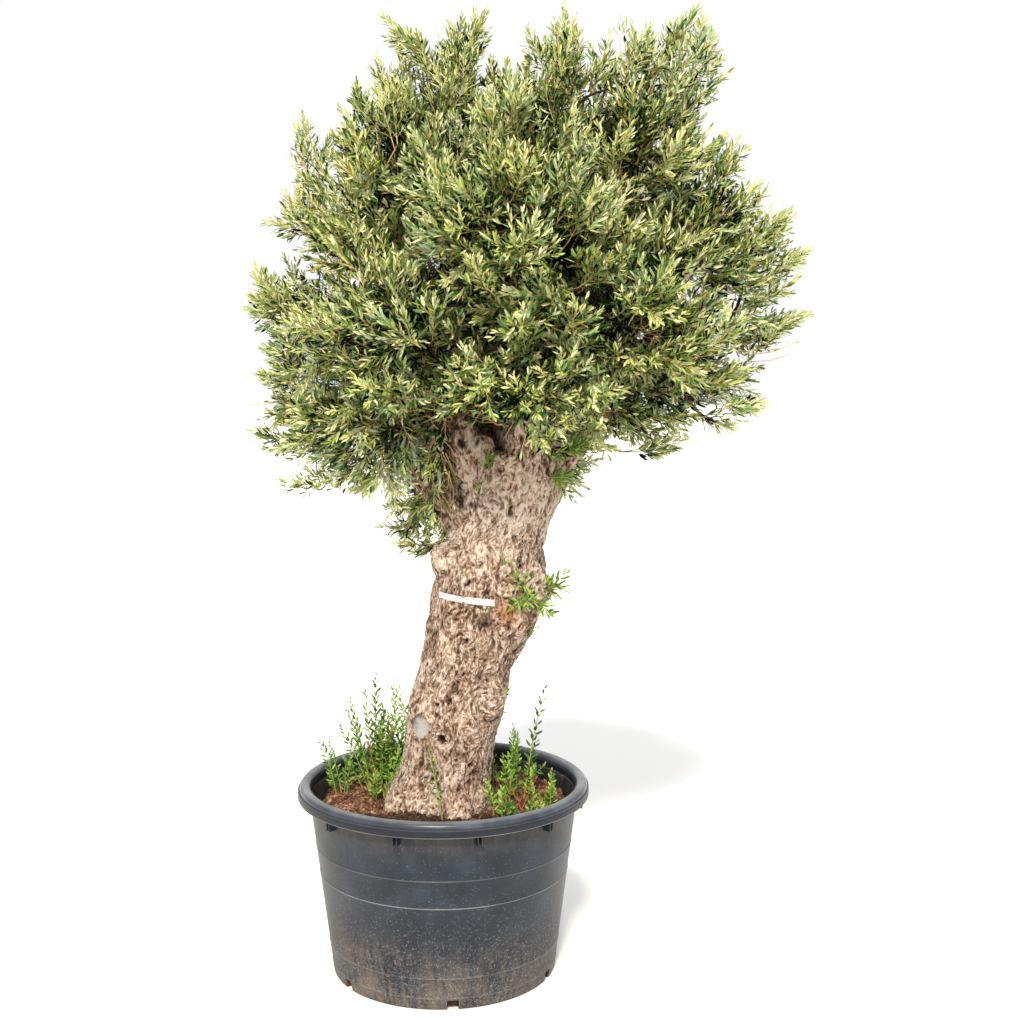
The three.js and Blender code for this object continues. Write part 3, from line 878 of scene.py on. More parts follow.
def half_painted_lighter(picks, rng):
    """A finish for each of a leaf's six faces: one half of many leaves is painted a level or two paler, a
    painted highlight on one side of the leaf's fold.
    """
    count = len(picks)
    step = rng.choice([0, 1, 2], count, p=[0.22, 0.40, 0.38])
    step = np.where((picks < 2) | (picks >= FELTED), 0, step)
    painted_lit_pick = np.minimum(picks // 2 + step, SHADES - 1) * 2 + picks % 2 * (step < 2)
    painted_lit_pick = np.where(picks >= FELTED, picks, painted_lit_pick)
    # The shoots' leaves get the same painted highlight on one half.
    painted_lit_shoot_pick = np.minimum(picks + rng.integers(0, 2, count), SHOOT_GREENS + 2)
    painted_lit_pick = np.where(picks >= SHOOT_GREENS, painted_lit_shoot_pick, painted_lit_pick)
    left = rng.random(count) < 0.5
    halves = np.where(left, painted_lit_pick, picks), np.where(left, picks, painted_lit_pick)
    return np.stack([halves[0]] * 3 + [halves[1]] * 3, axis=1).ravel()


def leaf_piece(name, leaves, rng):
    """Many leaves as one mesh: pointed ovals, rolled down at the edges and bent along their length."""
    count = len(leaves["length"])
    along, across, rolled = OUTLINE.T
    side = np.cross(leaves["upper"], leaves["run"])
    half = leaves["width"][:, None] / 2
    length = leaves["length"][:, None]
    curl = rng.uniform(-0.10, 0.26, (count, 1))
    fold = rng.uniform(0.15, 0.55, (count, 1))
    rise = -fold * half * rolled - curl * length * (along - 0.25) ** 2
    spots = (
        leaves["spot"][:, None]
        + leaves["run"][:, None] * (length * along)[..., None]
        + side[:, None] * (half * across)[..., None]
        + leaves["upper"][:, None] * rise[..., None]
    )
    faces = (np.arange(count)[:, None, None] * len(OUTLINE) + OUTLINE_FACES).reshape(-1, 3)
    picks = half_painted_lighter(leaves["pick"], rng)
    return piece_from_arrays(name, spots.reshape(-1, 3), faces, LEAVES, picks)


def stem_tubes(stems, rings, sides, picks):
    """Thin tapering tubes for many stems at once, each with the same number of rings."""
    count = len(stems["length"])
    shares = np.linspace(0, 1, rings)
    first = unit(np.cross(stems["start"] + stems["finish"], np.array([0.42, -0.35, 0.84])))
    second = unit(np.cross(stems["start"] + stems["finish"], first))
    angles = np.arange(sides) * (2 * math.pi / sides)
    spots = np.empty((count, rings, sides, 3))
    for r, share in enumerate(shares):
        middle, _ = stem_points(stems, np.full(count, share))
        radius = stems["radius"] * (1 - 0.72 * share)
        for k, angle in enumerate(angles):
            spots[:, r, k] = middle + radius[:, None] * (first * math.cos(angle) + second * math.sin(angle))
    faces = np.array(tube_faces(rings, sides))
    faces = (np.arange(count)[:, None, None] * rings * sides + faces).reshape(-1, 3)
    return spots.reshape(-1, 3), faces, np.repeat(picks, len(tube_faces(rings, sides)))


def joined_arrays(parts):
    """Several sets of points, faces and finish picks as one."""
    points, faces, picks, first = [], [], [], 0
    for p, f, m in parts:
        points.append(p)
        faces.append(f + first)
        picks.append(m)
        first += len(p)
    return np.concatenate(points), np.concatenate(faces), np.concatenate(picks)


def build_crown():
    """Limbs, twigs and leaves, grown from the bough ends to every spray."""
    rng = np.random.default_rng(SEED)
    masses = crown_masses()
    plan = plan_sprays(masses, rng)
    base_guess = plan["tip"] - plan["heading"] * plan["length"][:, None] * 0.97
    ends = bough_ends()
    points, parents, served_by = grow_limbs(ends, base_guess, rng)
    spots = np.concatenate([points, base_guess])
    parents = np.concatenate([parents, served_by])
    tips = np.concatenate([np.zeros(len(points)), np.ones(len(base_guess))])
    chains, radius = limb_chains(spots, parents, tips, ends)
    sway = np.array([noise.noise_vector(Vector(p) * 14) for p in spots]) * 5 * MM
    sway[len(points) :] = 0
    spots = spots + sway
    incoming = unit(base_guess - spots[served_by])
    mains = main_stems(plan, base_guess, incoming, rng)
    sides = side_stems(mains, plan["leader"], rng)
    stems = stems_joined(mains, sides)
    leaves = leaves_on(stems, rng)

    for number, mass in enumerate(masses):
        mine = leaves["mass"] == number
        name = mass["name"].replace("foliage_", "leaves_")
        piece = leaf_piece(name, {key: value[mine] for key, value in leaves.items()}, rng)
        root_piece(piece, "leaves", mass["name"])

    thick, thin = [], []
    for run in chains:
        path, radii = spots[run], radius[run].copy()
        if len(run) < 2:
            continue
        radii[0] = min(radii[0], radii[1] * 1.15)
        widest = radii.max()
        corners = next(count for least, count in LIMB_SIDES if widest > least)
        rings = tube_rings(path, radii, corners, np.array([0.3, 0.5, 0.81]))
        faces = np.array(tube_faces(len(run), corners))
        pick = SHADED_GREY_BROWN if widest > TWIG_RADIUS else TAN
        (thick if widest > LIMB_RADIUS else thin).append((rings, faces, np.full(len(faces), pick)))
    # Each stem's finish is painted by the light on its spray: sunlit straw, tan in half shade, dark grey
    # brown in deep shade.
    lit = stems["light"]
    age = np.where(lit > 0.62, SUNLIT_STRAW, np.where(lit > 0.2, TAN, SHADED_GREY_BROWN))
    finish = np.where(rng.random(len(lit)) < 0.014, DRY_ORANGE, age)
    main_count = len(mains["length"])
    stem_parts = [
        stem_tubes(mains, 4, STEM_SIDES, finish[:main_count]),
        stem_tubes(sides, 3, STEM_SIDES, finish[main_count:]),
    ]
    points, faces, picks = joined_arrays(thin + stem_parts)
    root_piece(piece_from_arrays("twigs", points, faces, TWIGS, picks), "bark")
    points, faces, picks = joined_arrays(thick)
    root_piece(piece_from_arrays("limbs", points, faces, [BARK], np.zeros(len(picks))), "bark")


# -------- bark of the trunk and boughs

GRAIN_STRETCH = 1.9
# Each length of bark: its lowest and highest cut and the size of its squares. They overlap by a little.
FOOT_BARK = {"cuts": (0.0, 0.715), "square": 2.7 * MM}
TRUNK_BARK = {"cuts": (0.690, 1.215), "square": 2.9 * MM}
BOUGH_BARK = {"cuts": (1.190, 2.0), "square": 2.95 * MM}
SQUARE_SCALE = 1.0
BURLS = [
    # x and z on the front of the trunk, radius in mm, how far it stands proud in mm
    (0.014, 0.930, 38, 17),
    (0.089, 0.957, 26, 13),
    (0.207, 0.872, 34, 16),
    (0.198, 0.905, 22, 7),
    (0.138, 0.878, 20, 12),
    (0.099, 0.628, 40, 11),
    (0.160, 0.800, 32, 9),
    (0.040, 0.800, 32, 4),
    (0.086, 1.175, 28, 12),
    (0.060, 1.120, 22, 6),
    (-0.045, 0.600, 30, 5),
    (-0.090, 0.385, 34, 10),
    (-0.030, 0.372, 30, 10),
    (0.040, 0.366, 32, 9),
    (0.075, 0.400, 26, 6),
    (0.020, 0.440, 26, 6),
]
FORK_WEB = [
    # x, y and z of the wood that closes the fork over the low left bough, radius in mm
    (0.027, -0.012, 1.066, 23),
    (0.025, -0.010, 1.092, 25),
    (0.022, -0.006, 1.116, 24),
]
KNOT_HOLES = [
    # x and z on the front of the trunk, radius, depth and height of the lip in mm
    (-0.001, 0.542, 8, 16, 4.0),
    (0.056, 0.764, 6, 8, 1.5),
    (0.059, 0.890, 8, 10, 1.0),
    (0.125, 0.891, 5, 7, 0.5),
    (0.097, 0.800, 9, 5, 0.5),
    (0.122, 0.581, 8, 7, 1.0),
    (0.151, 1.039, 9, 8, 1.5),
    (0.098, 1.139, 6, 7, 0.5),
    (0.017, 0.629, 6, 7, 0.5),
    (-0.012, 0.598, 5, 7, 1.0),
    (-0.010, 0.618, 5, 6, 0.5),
    (0.089, 1.177, 5, 7, 2.5),
    (0.047, 1.188, 11, 9, 1.0),
    (0.098, 0.952, 7, 9, 1.5),
    (0.168, 1.160, 8, 8, 0.8),
    (0.198, 1.167, 9, 8, 0.5),
    (0.150, 0.872, 6, 7, 2.0),
    (-0.028, 0.700, 5, 6, 0.5),
    (0.048, 0.690, 5, 7, 0.5),
    (-0.020, 0.455, 6, 7, 0.5),
    (0.062, 0.480, 6, 6, 0.5),
    (0.105, 0.960, 6, 8, 0.5),
    (0.064, 1.055, 7, 7, 0.5),
]
SLOTS = [
    # x and z, half length, half height and depth in mm, slope in degrees
    (0.201, 0.908, 8, 2.2, 6, -18),
    (0.198, 0.872, 8, 2.2, 5, 8),
    (0.155, 0.985, 4, 14, 6, 10),
    (0.218, 0.960, 3, 16, 7, 4),
]
SWIRLS = [
    # x and z, radius in mm, how far the grain is turned in degrees
    (0.099, 0.627, 34, 150),
    (0.014, 0.930, 30, -160),
    (0.056, 0.764, 26, 90),
    (0.134, 0.785, 18, 200),
    (0.138, 0.878, 18, -190),
    (0.207, 0.872, 28, 140),
    (0.089, 0.957, 24, -120),
    (0.125, 1.160, 24, 150),
    (-0.001, 0.542, 24, 120),
    (0.020, 0.840, 24, 100),
    (0.110, 1.060, 26, -110),
    (0.060, 0.560, 26, 110),
    (0.150, 0.700, 26, -100),
]
SCAR = {"x": -0.048, "z": 0.566, "wide": 21, "deep": 40, "tall": 27}
# How much paler or darker the wood is, by height: paler low down, painted light just under the crown and
# painted shade higher up in the crown's shade.
TONE_HEIGHTS = [0.36, 0.44, 0.50, 0.66, 0.80, 0.92, 1.02, 1.13, 1.21, 1.30]
PALER_AND_PAINTED_LIGHT = [0.09, 0.07, 0.06, 0.06, -0.03, 0.04, 0.17, 0.18, 0.03, -0.18]
STAIN = {"x": 0.146, "z": 0.826, "radius": 27}
# Where the tag is pressed on, the bark is calmer: the reach of that in x, y and z.
CALM_REACH = [0.062, 0.05, 0.016]
# How far up the trunk's own middle leads the grain. From there on each bough's axis may.
TRUNK_ONLY = 0.86
TRUNK_GIRTH, BOUGH_GIRTH = 0.10, 0.040


def noise_at(points, size, octaves=1, shift=0.0):
    """Smooth noise about -1 to 1 with blobs of a given size in metres."""
    spots = (np.asarray(points) / size + shift).tolist()
    if octaves == 1:
        return np.array([noise.noise(Vector(p)) for p in spots])
    return np.array([noise.fractal(Vector(p), 0.9, 2.1, octaves) for p in spots])


def warp_at(points, size):
    """A smooth random vector at each point."""
    return np.array([noise.noise_vector(Vector(p)) for p in (points / size).tolist()])


def front_of(tree, x, z):
    """The place on a solid's front at a given x and z, or the nearest one beside it."""
    spot, _, _, _ = tree.ray_cast(Vector((x, -1.0, z)), Vector((0, 1, 0)))
    if spot is None:
        spot, _, _, _ = tree.find_nearest(Vector((x, -0.05, z)))
    return np.array(spot)


def bark_base(nodes, cuts, lumps):
    """The CAD solids of trunk and boughs between two level cuts, closed there, with lumps added to them."""
    bm = bmesh.new()
    for node in nodes:
        bm.from_mesh(NODES[node].data)
    bmesh.ops.remove_doubles(bm, verts=bm.verts, dist=0.01 * MM)
    for height, facing in zip(cuts, (-1, 1)):
        bmesh.ops.bisect_plane(
            bm,
            geom=bm.verts[:] + bm.edges[:] + bm.faces[:],
            plane_co=(0, 0, height),
            plane_no=(0, 0, facing),
            clear_outer=True,
        )
        rim = [edge for edge in bm.edges if edge.is_boundary]
        bmesh.ops.holes_fill(bm, edges=rim, sides=0)
    for centre, radius, squash in lumps:
        if cuts[0] + radius < centre[2] < cuts[1] - radius * 0.6:
            matrix = Matrix.LocRotScale(Vector(centre), None, Vector(squash))
            bmesh.ops.create_icosphere(bm, subdivisions=3, radius=radius, matrix=matrix)
    return bm


def trunk_line(tree_points):
    """The trunk's middle by height, which its grain follows."""
    heights = np.linspace(tree_points[:, 2].min(), tree_points[:, 2].max(), 24)
    rows = []
    for low, high in zip(heights[:-1], heights[1:]):
        ring = tree_points[(tree_points[:, 2] >= low) & (tree_points[:, 2] <= high)]
        if len(ring):
            rows.append((ring[:, 2].mean(), ring[:, 0].mean(), ring[:, 1].mean()))
    return np.array(rows)


def grain_coordinates(points, middle):
    """Coordinates that run with the grain: across it in metres, along it shortened by the stretch."""
    lean = np.stack([np.interp(points[:, 2], middle[:, 0], middle[:, k]) for k in (1, 2)], axis=1)
    grain = points.copy()
    grain[:, :2] -= lean
    grain[:, 2] /= GRAIN_STRETCH
    nearest = np.linalg.norm(points[:, :2] - lean, axis=1) / TRUNK_GIRTH
    nearest += np.where(points[:, 2] < TRUNK_ONLY, -9, 0)
    for name in BOUGHS:
        low, high = (np.array(corner) for corner in bough_line(name))
        axis = unit(high - low)
        along = (points - low) @ axis
        off = points - low - along[:, None] * axis
        away = np.linalg.norm(off, axis=1) / BOUGH_GIRTH + np.where(along < 0.03, 9, 0)
        mine = away < nearest
        nearest = np.minimum(nearest, away)
        grain[mine] = (points - axis * along[:, None] * (1 - 1 / GRAIN_STRETCH))[mine]
    return grain


def bough_line(name):
    """The middle of a bough's foot and of its end."""
    points, _ = mesh_arrays(NODES[name])
    axis = unit(points[points[:, 2].argmax()] - points[points[:, 2].argmin()])
    along = points @ axis
    reach = along.max() - along.min()
    foot = points[along < along.min() + 0.08 * reach].mean(0)
    end = points[along > along.max() - 0.08 * reach].mean(0)
    return foot, end


def swirled(points, tree):
    """Points turned round the trunk's knots, so that the grain flows round them."""
    turned = points.copy()
    for x, z, radius, degrees in SWIRLS:
        centre = front_of(tree, x, z)
        off = turned - centre
        angle = math.radians(degrees) * np.exp(-((off**2).sum(1)) / (radius * MM) ** 2)
        c, s = np.cos(angle), np.sin(angle)
        turned[:, 0] = centre[0] + off[:, 0] * c - off[:, 2] * s
        turned[:, 2] = centre[2] + off[:, 0] * s + off[:, 2] * c
    return turned


def near_front(points, tree, x, z):
    """Distance of each point from a place on the trunk's front, in mm."""
    return np.linalg.norm(points - front_of(tree, x, z), axis=1) / MM


# The blobs of each pattern in metres, and how far each stands out or goes in, in mm.
BLOB = {"flute": 0.055, "lump": 0.026, "flame": 0.0088, "fleck": 0.0050, "furrow": 0.021, "pit": 0.017}
DEPTH = {"flute": 4.0, "lump": 4.2, "flame": 2.1, "fleck": 1.0, "furrow": 2.0, "pit": 3.0}


def bark_relief(points, tree, middle, calm):
    """How far the bark stands out in metres, and its shares of crest, hollow (dark, deepened by painted
    shade), stain (with painted shade under the crown) and scar.
    """
    flow = grain_coordinates(swirled(points, tree), middle)
    flow = flow + warp_at(points, 0.060) * 9 * MM + warp_at(points, 0.020) * 3.2 * MM
    long_flow = flow * [1, 1, 0.35]
    flutes = noise_at(long_flow, BLOB["flute"])
    lumps = noise_at(flow, BLOB["lump"], 2, 7.3)
    flames = 1 - np.abs(noise_at(flow, BLOB["flame"], 1, 3.1)) * 3.1
    flecks = 1 - np.abs(noise_at(flow, BLOB["fleck"], 1, 5.7)) * 3.0
    furrow = np.exp(-((noise_at(long_flow, BLOB["furrow"], 1, 1.9) / 0.055) ** 2))
    cell = [noise.voronoi(Vector(p)) for p in (flow / BLOB["pit"]).tolist()]
    away = np.array([c[0][0] for c in cell])
    lot = np.array([noise.cell(c[1][0] * 3.7) for c in cell])
    pits = np.exp(-((away / 0.24) ** 2)) * (lot > 0.55)
    rough = np.clip(1 - calm, 0.25, 1)
    out = DEPTH["flute"] * flutes + DEPTH["lump"] * lumps * rough
    fine = DEPTH["flame"] * flames + DEPTH["fleck"] * flecks - DEPTH["furrow"] * furrow
    out = out + (fine - DEPTH["pit"] * pits) * rough
    crest = 0.50 + 0.20 * flames + 0.15 * flecks + 0.18 * lumps - 0.22 * furrow - 0.30 * pits
    # The hollow share darkens pits, furrows, knot holes and slots: the bark's own dark there, deepened as
    # painted shade.
    hollow_dark_and_shade = np.clip(pits * 0.45 + furrow * 0.12, 0, 1)
    wander = warp_at(points, 0.016) * 3.0 * MM
    for x, z, radius, depth, lip in KNOT_HOLES:
        wobble = near_front(points + wander, tree, x, z) * (1 + 0.3 * lumps)
        hole = np.exp(-((wobble / radius) ** 2) * 1.1)
        ring = np.exp(-(((wobble - 1.6 * radius) / (0.45 * radius)) ** 2))
        out = out - depth * hole + lip * ring
        crest = crest + 0.07 * ring * lip - 0.3 * hole
        hollow_dark_and_shade = np.maximum(hollow_dark_and_shade, smooth_step(0.25, 0.85, hole))
    for x, z, half, height, depth, slope in SLOTS:
        off = (points - front_of(tree, x, z)) / MM
        c, s = math.cos(math.radians(slope)), math.sin(math.radians(slope))
        u, v = off[:, 0] * c + off[:, 2] * s, off[:, 2] * c - off[:, 0] * s
        slot = np.exp(-((u / half) ** 2) - (v / height) ** 2 - (off[:, 1] / 25) ** 2)
        out = out - depth * slot
        hollow_dark_and_shade = np.maximum(hollow_dark_and_shade, smooth_step(0.3, 0.9, slot))
    for x, z, radius, _ in SWIRLS:
        away = near_front(points, tree, x, z)
        fade = np.exp(-((away / radius) ** 2))
        rings = np.cos((away + 4 * lumps) * (2 * math.pi / 8.5))
        out = out + 0.80 * rings * fade
        crest = crest + 0.09 * rings * fade
    off = (points - front_of(tree, SCAR["x"], SCAR["z"])) / MM
    scar = np.sqrt(((off / [SCAR["wide"], SCAR["deep"], SCAR["tall"]]) ** 2).sum(1))
    scar = scar + 0.15 * lumps + 0.30 * noise_at(points, 0.017, 1, 2.2)
    plain = 1 - smooth_step(0.85, 1.05, scar)
    for x, z, radius, proud in BURLS:
        crest = crest + 0.012 * proud * np.exp(-((near_front(points, tree, x, z) / radius) ** 2))
    # Painted shade under the crown: the furrows are painted deeper in colour and, further down, the wood
    # redder.
    neck = smooth_step(1.02, 1.14, points[:, 2])
    crest = 0.5 + (crest - 0.5) * (1 + 0.35 * neck)
    crest = crest + np.interp(points[:, 2], TONE_HEIGHTS, PALER_AND_PAINTED_LIGHT)
    # Painted shade: the low left bough is painted darker, as it stands in shade.
    shaded_low_bough = smooth_step(0.98, 1.04, points[:, 2]) * (1 - smooth_step(0.015, 0.055, points[:, 0]))
    crest = crest - 0.28 * shaded_low_bough
    out = out * (1 - plain) - 1.5 * plain + 3.0 * np.exp(-(((scar - 1.12) / 0.13) ** 2))
    stain = near_front(points, tree, STAIN["x"], STAIN["z"]) / STAIN["radius"]
    # The rust stain also spreads over the neck as painted shade under the crown.
    stain = np.exp(-(stain**2)) * (0.9 + 0.7 * lumps) + 0.20 * neck
    shares = {"crest": crest, "hollow_dark_and_shade": hollow_dark_and_shade, "stain": stain, "scar": plain}
    return out * MM, {key: np.clip(value, 0, 1) for key, value in shares.items()}


def bark_piece(name, nodes, length, lumps, finish, tree, middle, calm_spot):
    """Solids joined into one skin of small squares, smoothed, then pushed out and in as bark."""
    bm = bark_base(nodes, length["cuts"], lumps)
    obj = piece_from_bmesh(name, bm, [finish])
    skin = obj.modifiers.new("skin", "REMESH")
    skin.mode = "VOXEL"
    skin.voxel_size = length["square"] * SQUARE_SCALE
    ease = obj.modifiers.new("ease", "SMOOTH")
    ease.factor = 0.6
    ease.iterations = 14
    applied(obj)
    mesh = obj.data
    points, _ = mesh_arrays(obj)
    normals = np.zeros(len(points) * 3)
    mesh.vertex_normals.foreach_get("vector", normals)
    calm = np.exp(-(np.linalg.norm((points - calm_spot) / CALM_REACH, axis=1) ** 4))
    out, shares = bark_relief(points, tree, middle, calm)
    points = points + normals.reshape(-1, 3) * out[:, None]
    mesh.vertices.foreach_set("co", points.ravel())
    for key, value in shares.items():
        mesh.attributes.new(key, "FLOAT", "POINT").data.foreach_set("value", value.astype(np.float32))
    mesh.polygons.foreach_set("use_smooth", np.ones(len(mesh.polygons), bool))
    mesh.update()
    return obj


def olive_bark(name):
    """Old olive bark: pale weathered crests like small flames over dark, dusty recesses, whose dark is
    partly painted shade, dull all over.
    """
    material, node = new_material(name)
    place_on = node("TexCoord").outputs["Object"]
    # The trunk leans 12 degrees, so the fine grain is turned with it and drawn out along it.
    grain = node(
        "Mapping", {"Vector": place_on, "Rotation": (0, math.radians(-12), 0), "Scale": (1, 1, 0.52)}
    )
    share = {
        key: node("Attribute", attribute_name=key).outputs["Fac"]
        for key in ("crest", "hollow_dark_and_shade", "stain", "scar")
    }
    # Fibres about 2.5 mm apart and dust grains of 1 mm.
    fibre = node(
        "TexNoise", {"Vector": grain, "Scale": 390, "Detail": 5, "Roughness": 0.62, "Distortion": 0.9}
    )
    dust = node("TexNoise", {"Vector": place_on, "Scale": 900, "Detail": 3})
    patch = node("TexNoise", {"Vector": place_on, "Scale": 17, "Detail": 4, "Roughness": 0.6})
    # Curled crests about 8 mm apart: the ridges where a warped noise passes its middle value.
    curl = node("TexNoise", {"Vector": grain, "Scale": 88, "Detail": 1.6, "Distortion": 1.3})
    curl = node("Math", {0: curl, 1: 0.5}, operation="SUBTRACT")
    curl = node("Math", {0: curl}, operation="ABSOLUTE")
    curl = node("MapRange", {"Value": curl, "From Max": 0.15, "To Min": 0.20, "To Max": -0.18})
    height = node("Math", {0: fibre, 1: 0.30, 2: share["crest"]}, operation="MULTIPLY_ADD")
    height = node("Math", {0: height, 1: 0.17}, operation="SUBTRACT")
    height = node("Math", {0: height, 1: curl}, operation="ADD")
    colour = node(
        "ValToRGB",
        {"Fac": height},
        stops=[
            (0.08, "#2d2218"),
            (0.28, "#574636"),
            (0.44, "#7c6859"),
            (0.58, "#988473"),
            (0.74, "#b9a697"),
            (0.95, "#dacfc3"),
        ],
    )
    tone = node("ValToRGB", {"Fac": patch}, stops=[(0.32, "#7a736a"), (0.50, "#928479"), (0.68, "#b3907c")])
    speck = node("ValToRGB", {"Fac": dust}, stops=[(0.36, 0.62), (0.60, 1.0)])
    rust = node("ValToRGB", {"Fac": height}, stops=[(0.2, "#3f2010"), (0.55, "#7c4722"), (0.85, "#a37650")])
    deep = node("Math", {0: share["hollow_dark_and_shade"], 1: 0.86}, operation="MULTIPLY")
    coats = [
        # how much, the colour, how it is laid on
        (0.55, tone, "SOFT_LIGHT"),
        (0.35, speck, "MULTIPLY"),
        (share["stain"], rust, "MIX"),
        (share["scar"], linear("#a9a6a2"), "MIX"),
        # Recesses darkened: their own dark and painted shade.
        (deep, linear("#1f1712"), "MIX"),
    ]
    for amount, over, blend in coats:
        sockets = {AMOUNT: amount, UNDER: colour, OVER: over}
        colour = node("Mix", sockets, data_type="RGBA", blend_type=blend).outputs[MIXED]
    rough = node("MapRange", {"Value": share["crest"], "To Min": 0.98, "To Max": 0.80})
    bump = node("Bump", {"Height": curl, "Strength": 0.9, "Distance": 3.5 * MM})
    bump = node("Bump", {"Height": fibre, "Strength": 0.7, "Distance": 1.6 * MM, "Normal": bump})
    bump = node("Bump", {"Height": dust, "Strength": 0.35, "Distance": 0.6 * MM, "Normal": bump})
    shader = node(
        "BsdfPrincipled",
        {"Base Color": colour, "Roughness": rough, "Normal": bump, "Specular IOR Level": 0.22},
    )
    node("OutputMaterial", {"Surface": shader})
    return material


def wood_skin():
    """Trunk and boughs of the frame together, to find places on their surface."""
    points, triangles, _ = joined_arrays(
        [(*mesh_arrays(NODES[name]), np.zeros(1)) for name in ["trunk"] + BOUGHS]
    )
    return BVHTree.FromPolygons(points.tolist(), triangles.tolist())


trunk_front = wood_skin()
trunk_middle = trunk_line(mesh_arrays(NODES["trunk"])[0])
BARK = olive_bark("olive_bark_old_weathered")


def build_bark():
    """Bark for the trunk with the feet of its boughs, and for the boughs above them. Gives the trunk's."""
    lumps = []
    for x, z, radius, proud in BURLS:
        front = front_of(trunk_front, x, z)
        lumps.append((front + [0, (radius * 0.55 - proud) * MM, 0], radius * MM, (1.0, 0.55, 1.15)))
    for x, y, z, radius in FORK_WEB:
        lumps.append(((x, y, z), radius * MM, (1.0, 0.8, 1.2)))
    tag_low, tag_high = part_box("tag")
    calm_spot = (np.array(tag_low) + np.array(tag_high)) / 2
    shared = (lumps, BARK, trunk_front, trunk_middle, calm_spot)
    wood = ["trunk"] + BOUGHS
    root_piece(bark_piece("bark_foot", wood, FOOT_BARK, *shared), "bark", "trunk")
    trunk = root_piece(bark_piece("bark_trunk", wood, TRUNK_BARK, *shared), "bark", "trunk", *BOUGHS)
    root_piece(bark_piece("bark_boughs", BOUGHS, BOUGH_BARK, *shared), "bark", *BOUGHS)
    return trunk


trunk_bark = build_bark()

# -------- pot

# In mm, as all of the pot's sizes are.
POT_WALL = {"foot_radius": 250, "neck_radius": 299, "neck_height": 398, "thick": 4, "floor": 5}
RIM = {"skirt_radius": 325, "ledge_height": 416, "ledge": 3.5, "roll": 13, "edge": 2}
MOULD_LINES = [(294, 0.7), (232, 0.7), (72, 0.5), (26, 0.5)]  # height and how far it stands proud, mm
POT_STEPS = 192
DRAIN_NOTCH = {"count": 6, "first": 6.5, "width": 25, "depth": 30, "height": 22, "corner": 3}
RIM_RIBS = {"count": 11, "first": 16.4, "apart": 8.0, "thick": 2.4, "reach": 15, "drop": 24}


def wall_radius(height):
    """The pot's outer radius at a height, both in mm."""
    share = height / POT_WALL["neck_height"]
    return POT_WALL["foot_radius"] + (POT_WALL["neck_radius"] - POT_WALL["foot_radius"]) * share


def pot_profile():
    """The pot's cut shape from the middle of its underside, up the outside and down the inside."""
    line = [(0, 3), (228, 3), (232, 0), (246.5, 0), (248.6, 0.7), (250.2, 2.4), (wall_radius(6), 6)]
    for height, proud in sorted(MOULD_LINES):
        radius = wall_radius(height)
        line += [(radius, height - 1.4), (radius + proud, height - 0.5), (radius + proud, height + 0.5)]
        line += [(radius, height + 1.4)]
    for height in range(310, 396, 22):
        line.append((wall_radius(height), height))
    neck, skirt, edge = POT_WALL["neck_height"], RIM["skirt_radius"], RIM["edge"]
    line += [(wall_radius(neck) - 0.2, neck - 1.5), (wall_radius(neck) + 1.5, neck)]
    line += [(skirt - edge, neck), (skirt - 0.6, neck + 0.6), (skirt, neck + edge)]
    ledge = RIM["ledge_height"]
    line += [(skirt, ledge - edge), (skirt - 0.5, ledge - 0.5), (skirt - RIM["ledge"], ledge)]
    middle = skirt - RIM["ledge"] - RIM["roll"]
    for turn in range(4, 181, 11):
        angle = math.radians(turn)
        line.append((middle + RIM["roll"] * math.cos(angle), ledge + 1 + RIM["roll"] * math.sin(angle)))
    inside = middle - RIM["roll"]
    line += [(inside, ledge - 8), (inside + 0.4, ledge - 14)]
    line += [(wall_radius(neck) - POT_WALL["thick"], neck - 6)]
    for height in (340, 200, 60, 14):
        line.append((wall_radius(height) - POT_WALL["thick"], height))
    line += [(wall_radius(10) - 6, 7), (wall_radius(8) - 11, POT_WALL["floor"]), (0, POT_WALL["floor"])]
    return line


def turned(bm, profile, steps):
    """Spins a profile of radius and height in mm once round the upright axis."""
    ring = [bm.verts.new((radius * MM, 0, height * MM)) for radius, height in profile]
    edges = [bm.edges.new(pair) for pair in zip(ring, ring[1:])]
    bmesh.ops.spin(
        bm,
        geom=ring + edges,
        cent=(0, 0, 0),
        axis=(0, 0, 1),
        angle=2 * math.pi,
        steps=steps,
        use_merge=True,
    )
    bmesh.ops.remove_doubles(bm, verts=bm.verts, dist=0.02 * MM)
    bmesh.ops.recalc_face_normals(bm, faces=bm.faces)


def take_in(whole, part):
    """Adds one bmesh to another and frees it."""
    spare = bpy.data.meshes.new("spare")
    part.to_mesh(spare)
    part.free()
    whole.from_mesh(spare)
    bpy.data.meshes.remove(spare)


def ring_of_blocks(count, first, size, centre, bevel, shaped=None):
    """A bmesh of equal rounded blocks in a ring round the pot. Sizes in mm, angles from the front."""
    whole = bmesh.new()
    for number in range(count):
        one = bmesh.new()
        bmesh.ops.create_cube(one, size=1.0)
        bmesh.ops.scale(one, vec=Vector(size) * MM, verts=one.verts)
        if shaped:
            shaped(one)
        bmesh.ops.bevel(
            one, geom=one.edges[:], offset=bevel * MM, segments=3, profile=0.5, affect="EDGES", material=-1
        )
        bmesh.ops.translate(one, vec=Vector(centre) * MM, verts=one.verts)
        turn = Matrix.Rotation(math.radians(first + number * 360 / count), 3, "Z")
        bmesh.ops.rotate(one, cent=(0, 0, 0), matrix=turn, verts=one.verts)
        take_in(whole, one)
    return whole


def rib_foot(bm):
    """Cuts a rib's lower outer corner back, as the mould does."""
    for vert in bm.verts:
        if vert.co.z < 0 and vert.co.y < 0:
            vert.co.y += 0.10 * RIM_RIBS["reach"] * MM


# The finish's bands are laid out over this height of the pot.
RAMP_HEIGHT = 450


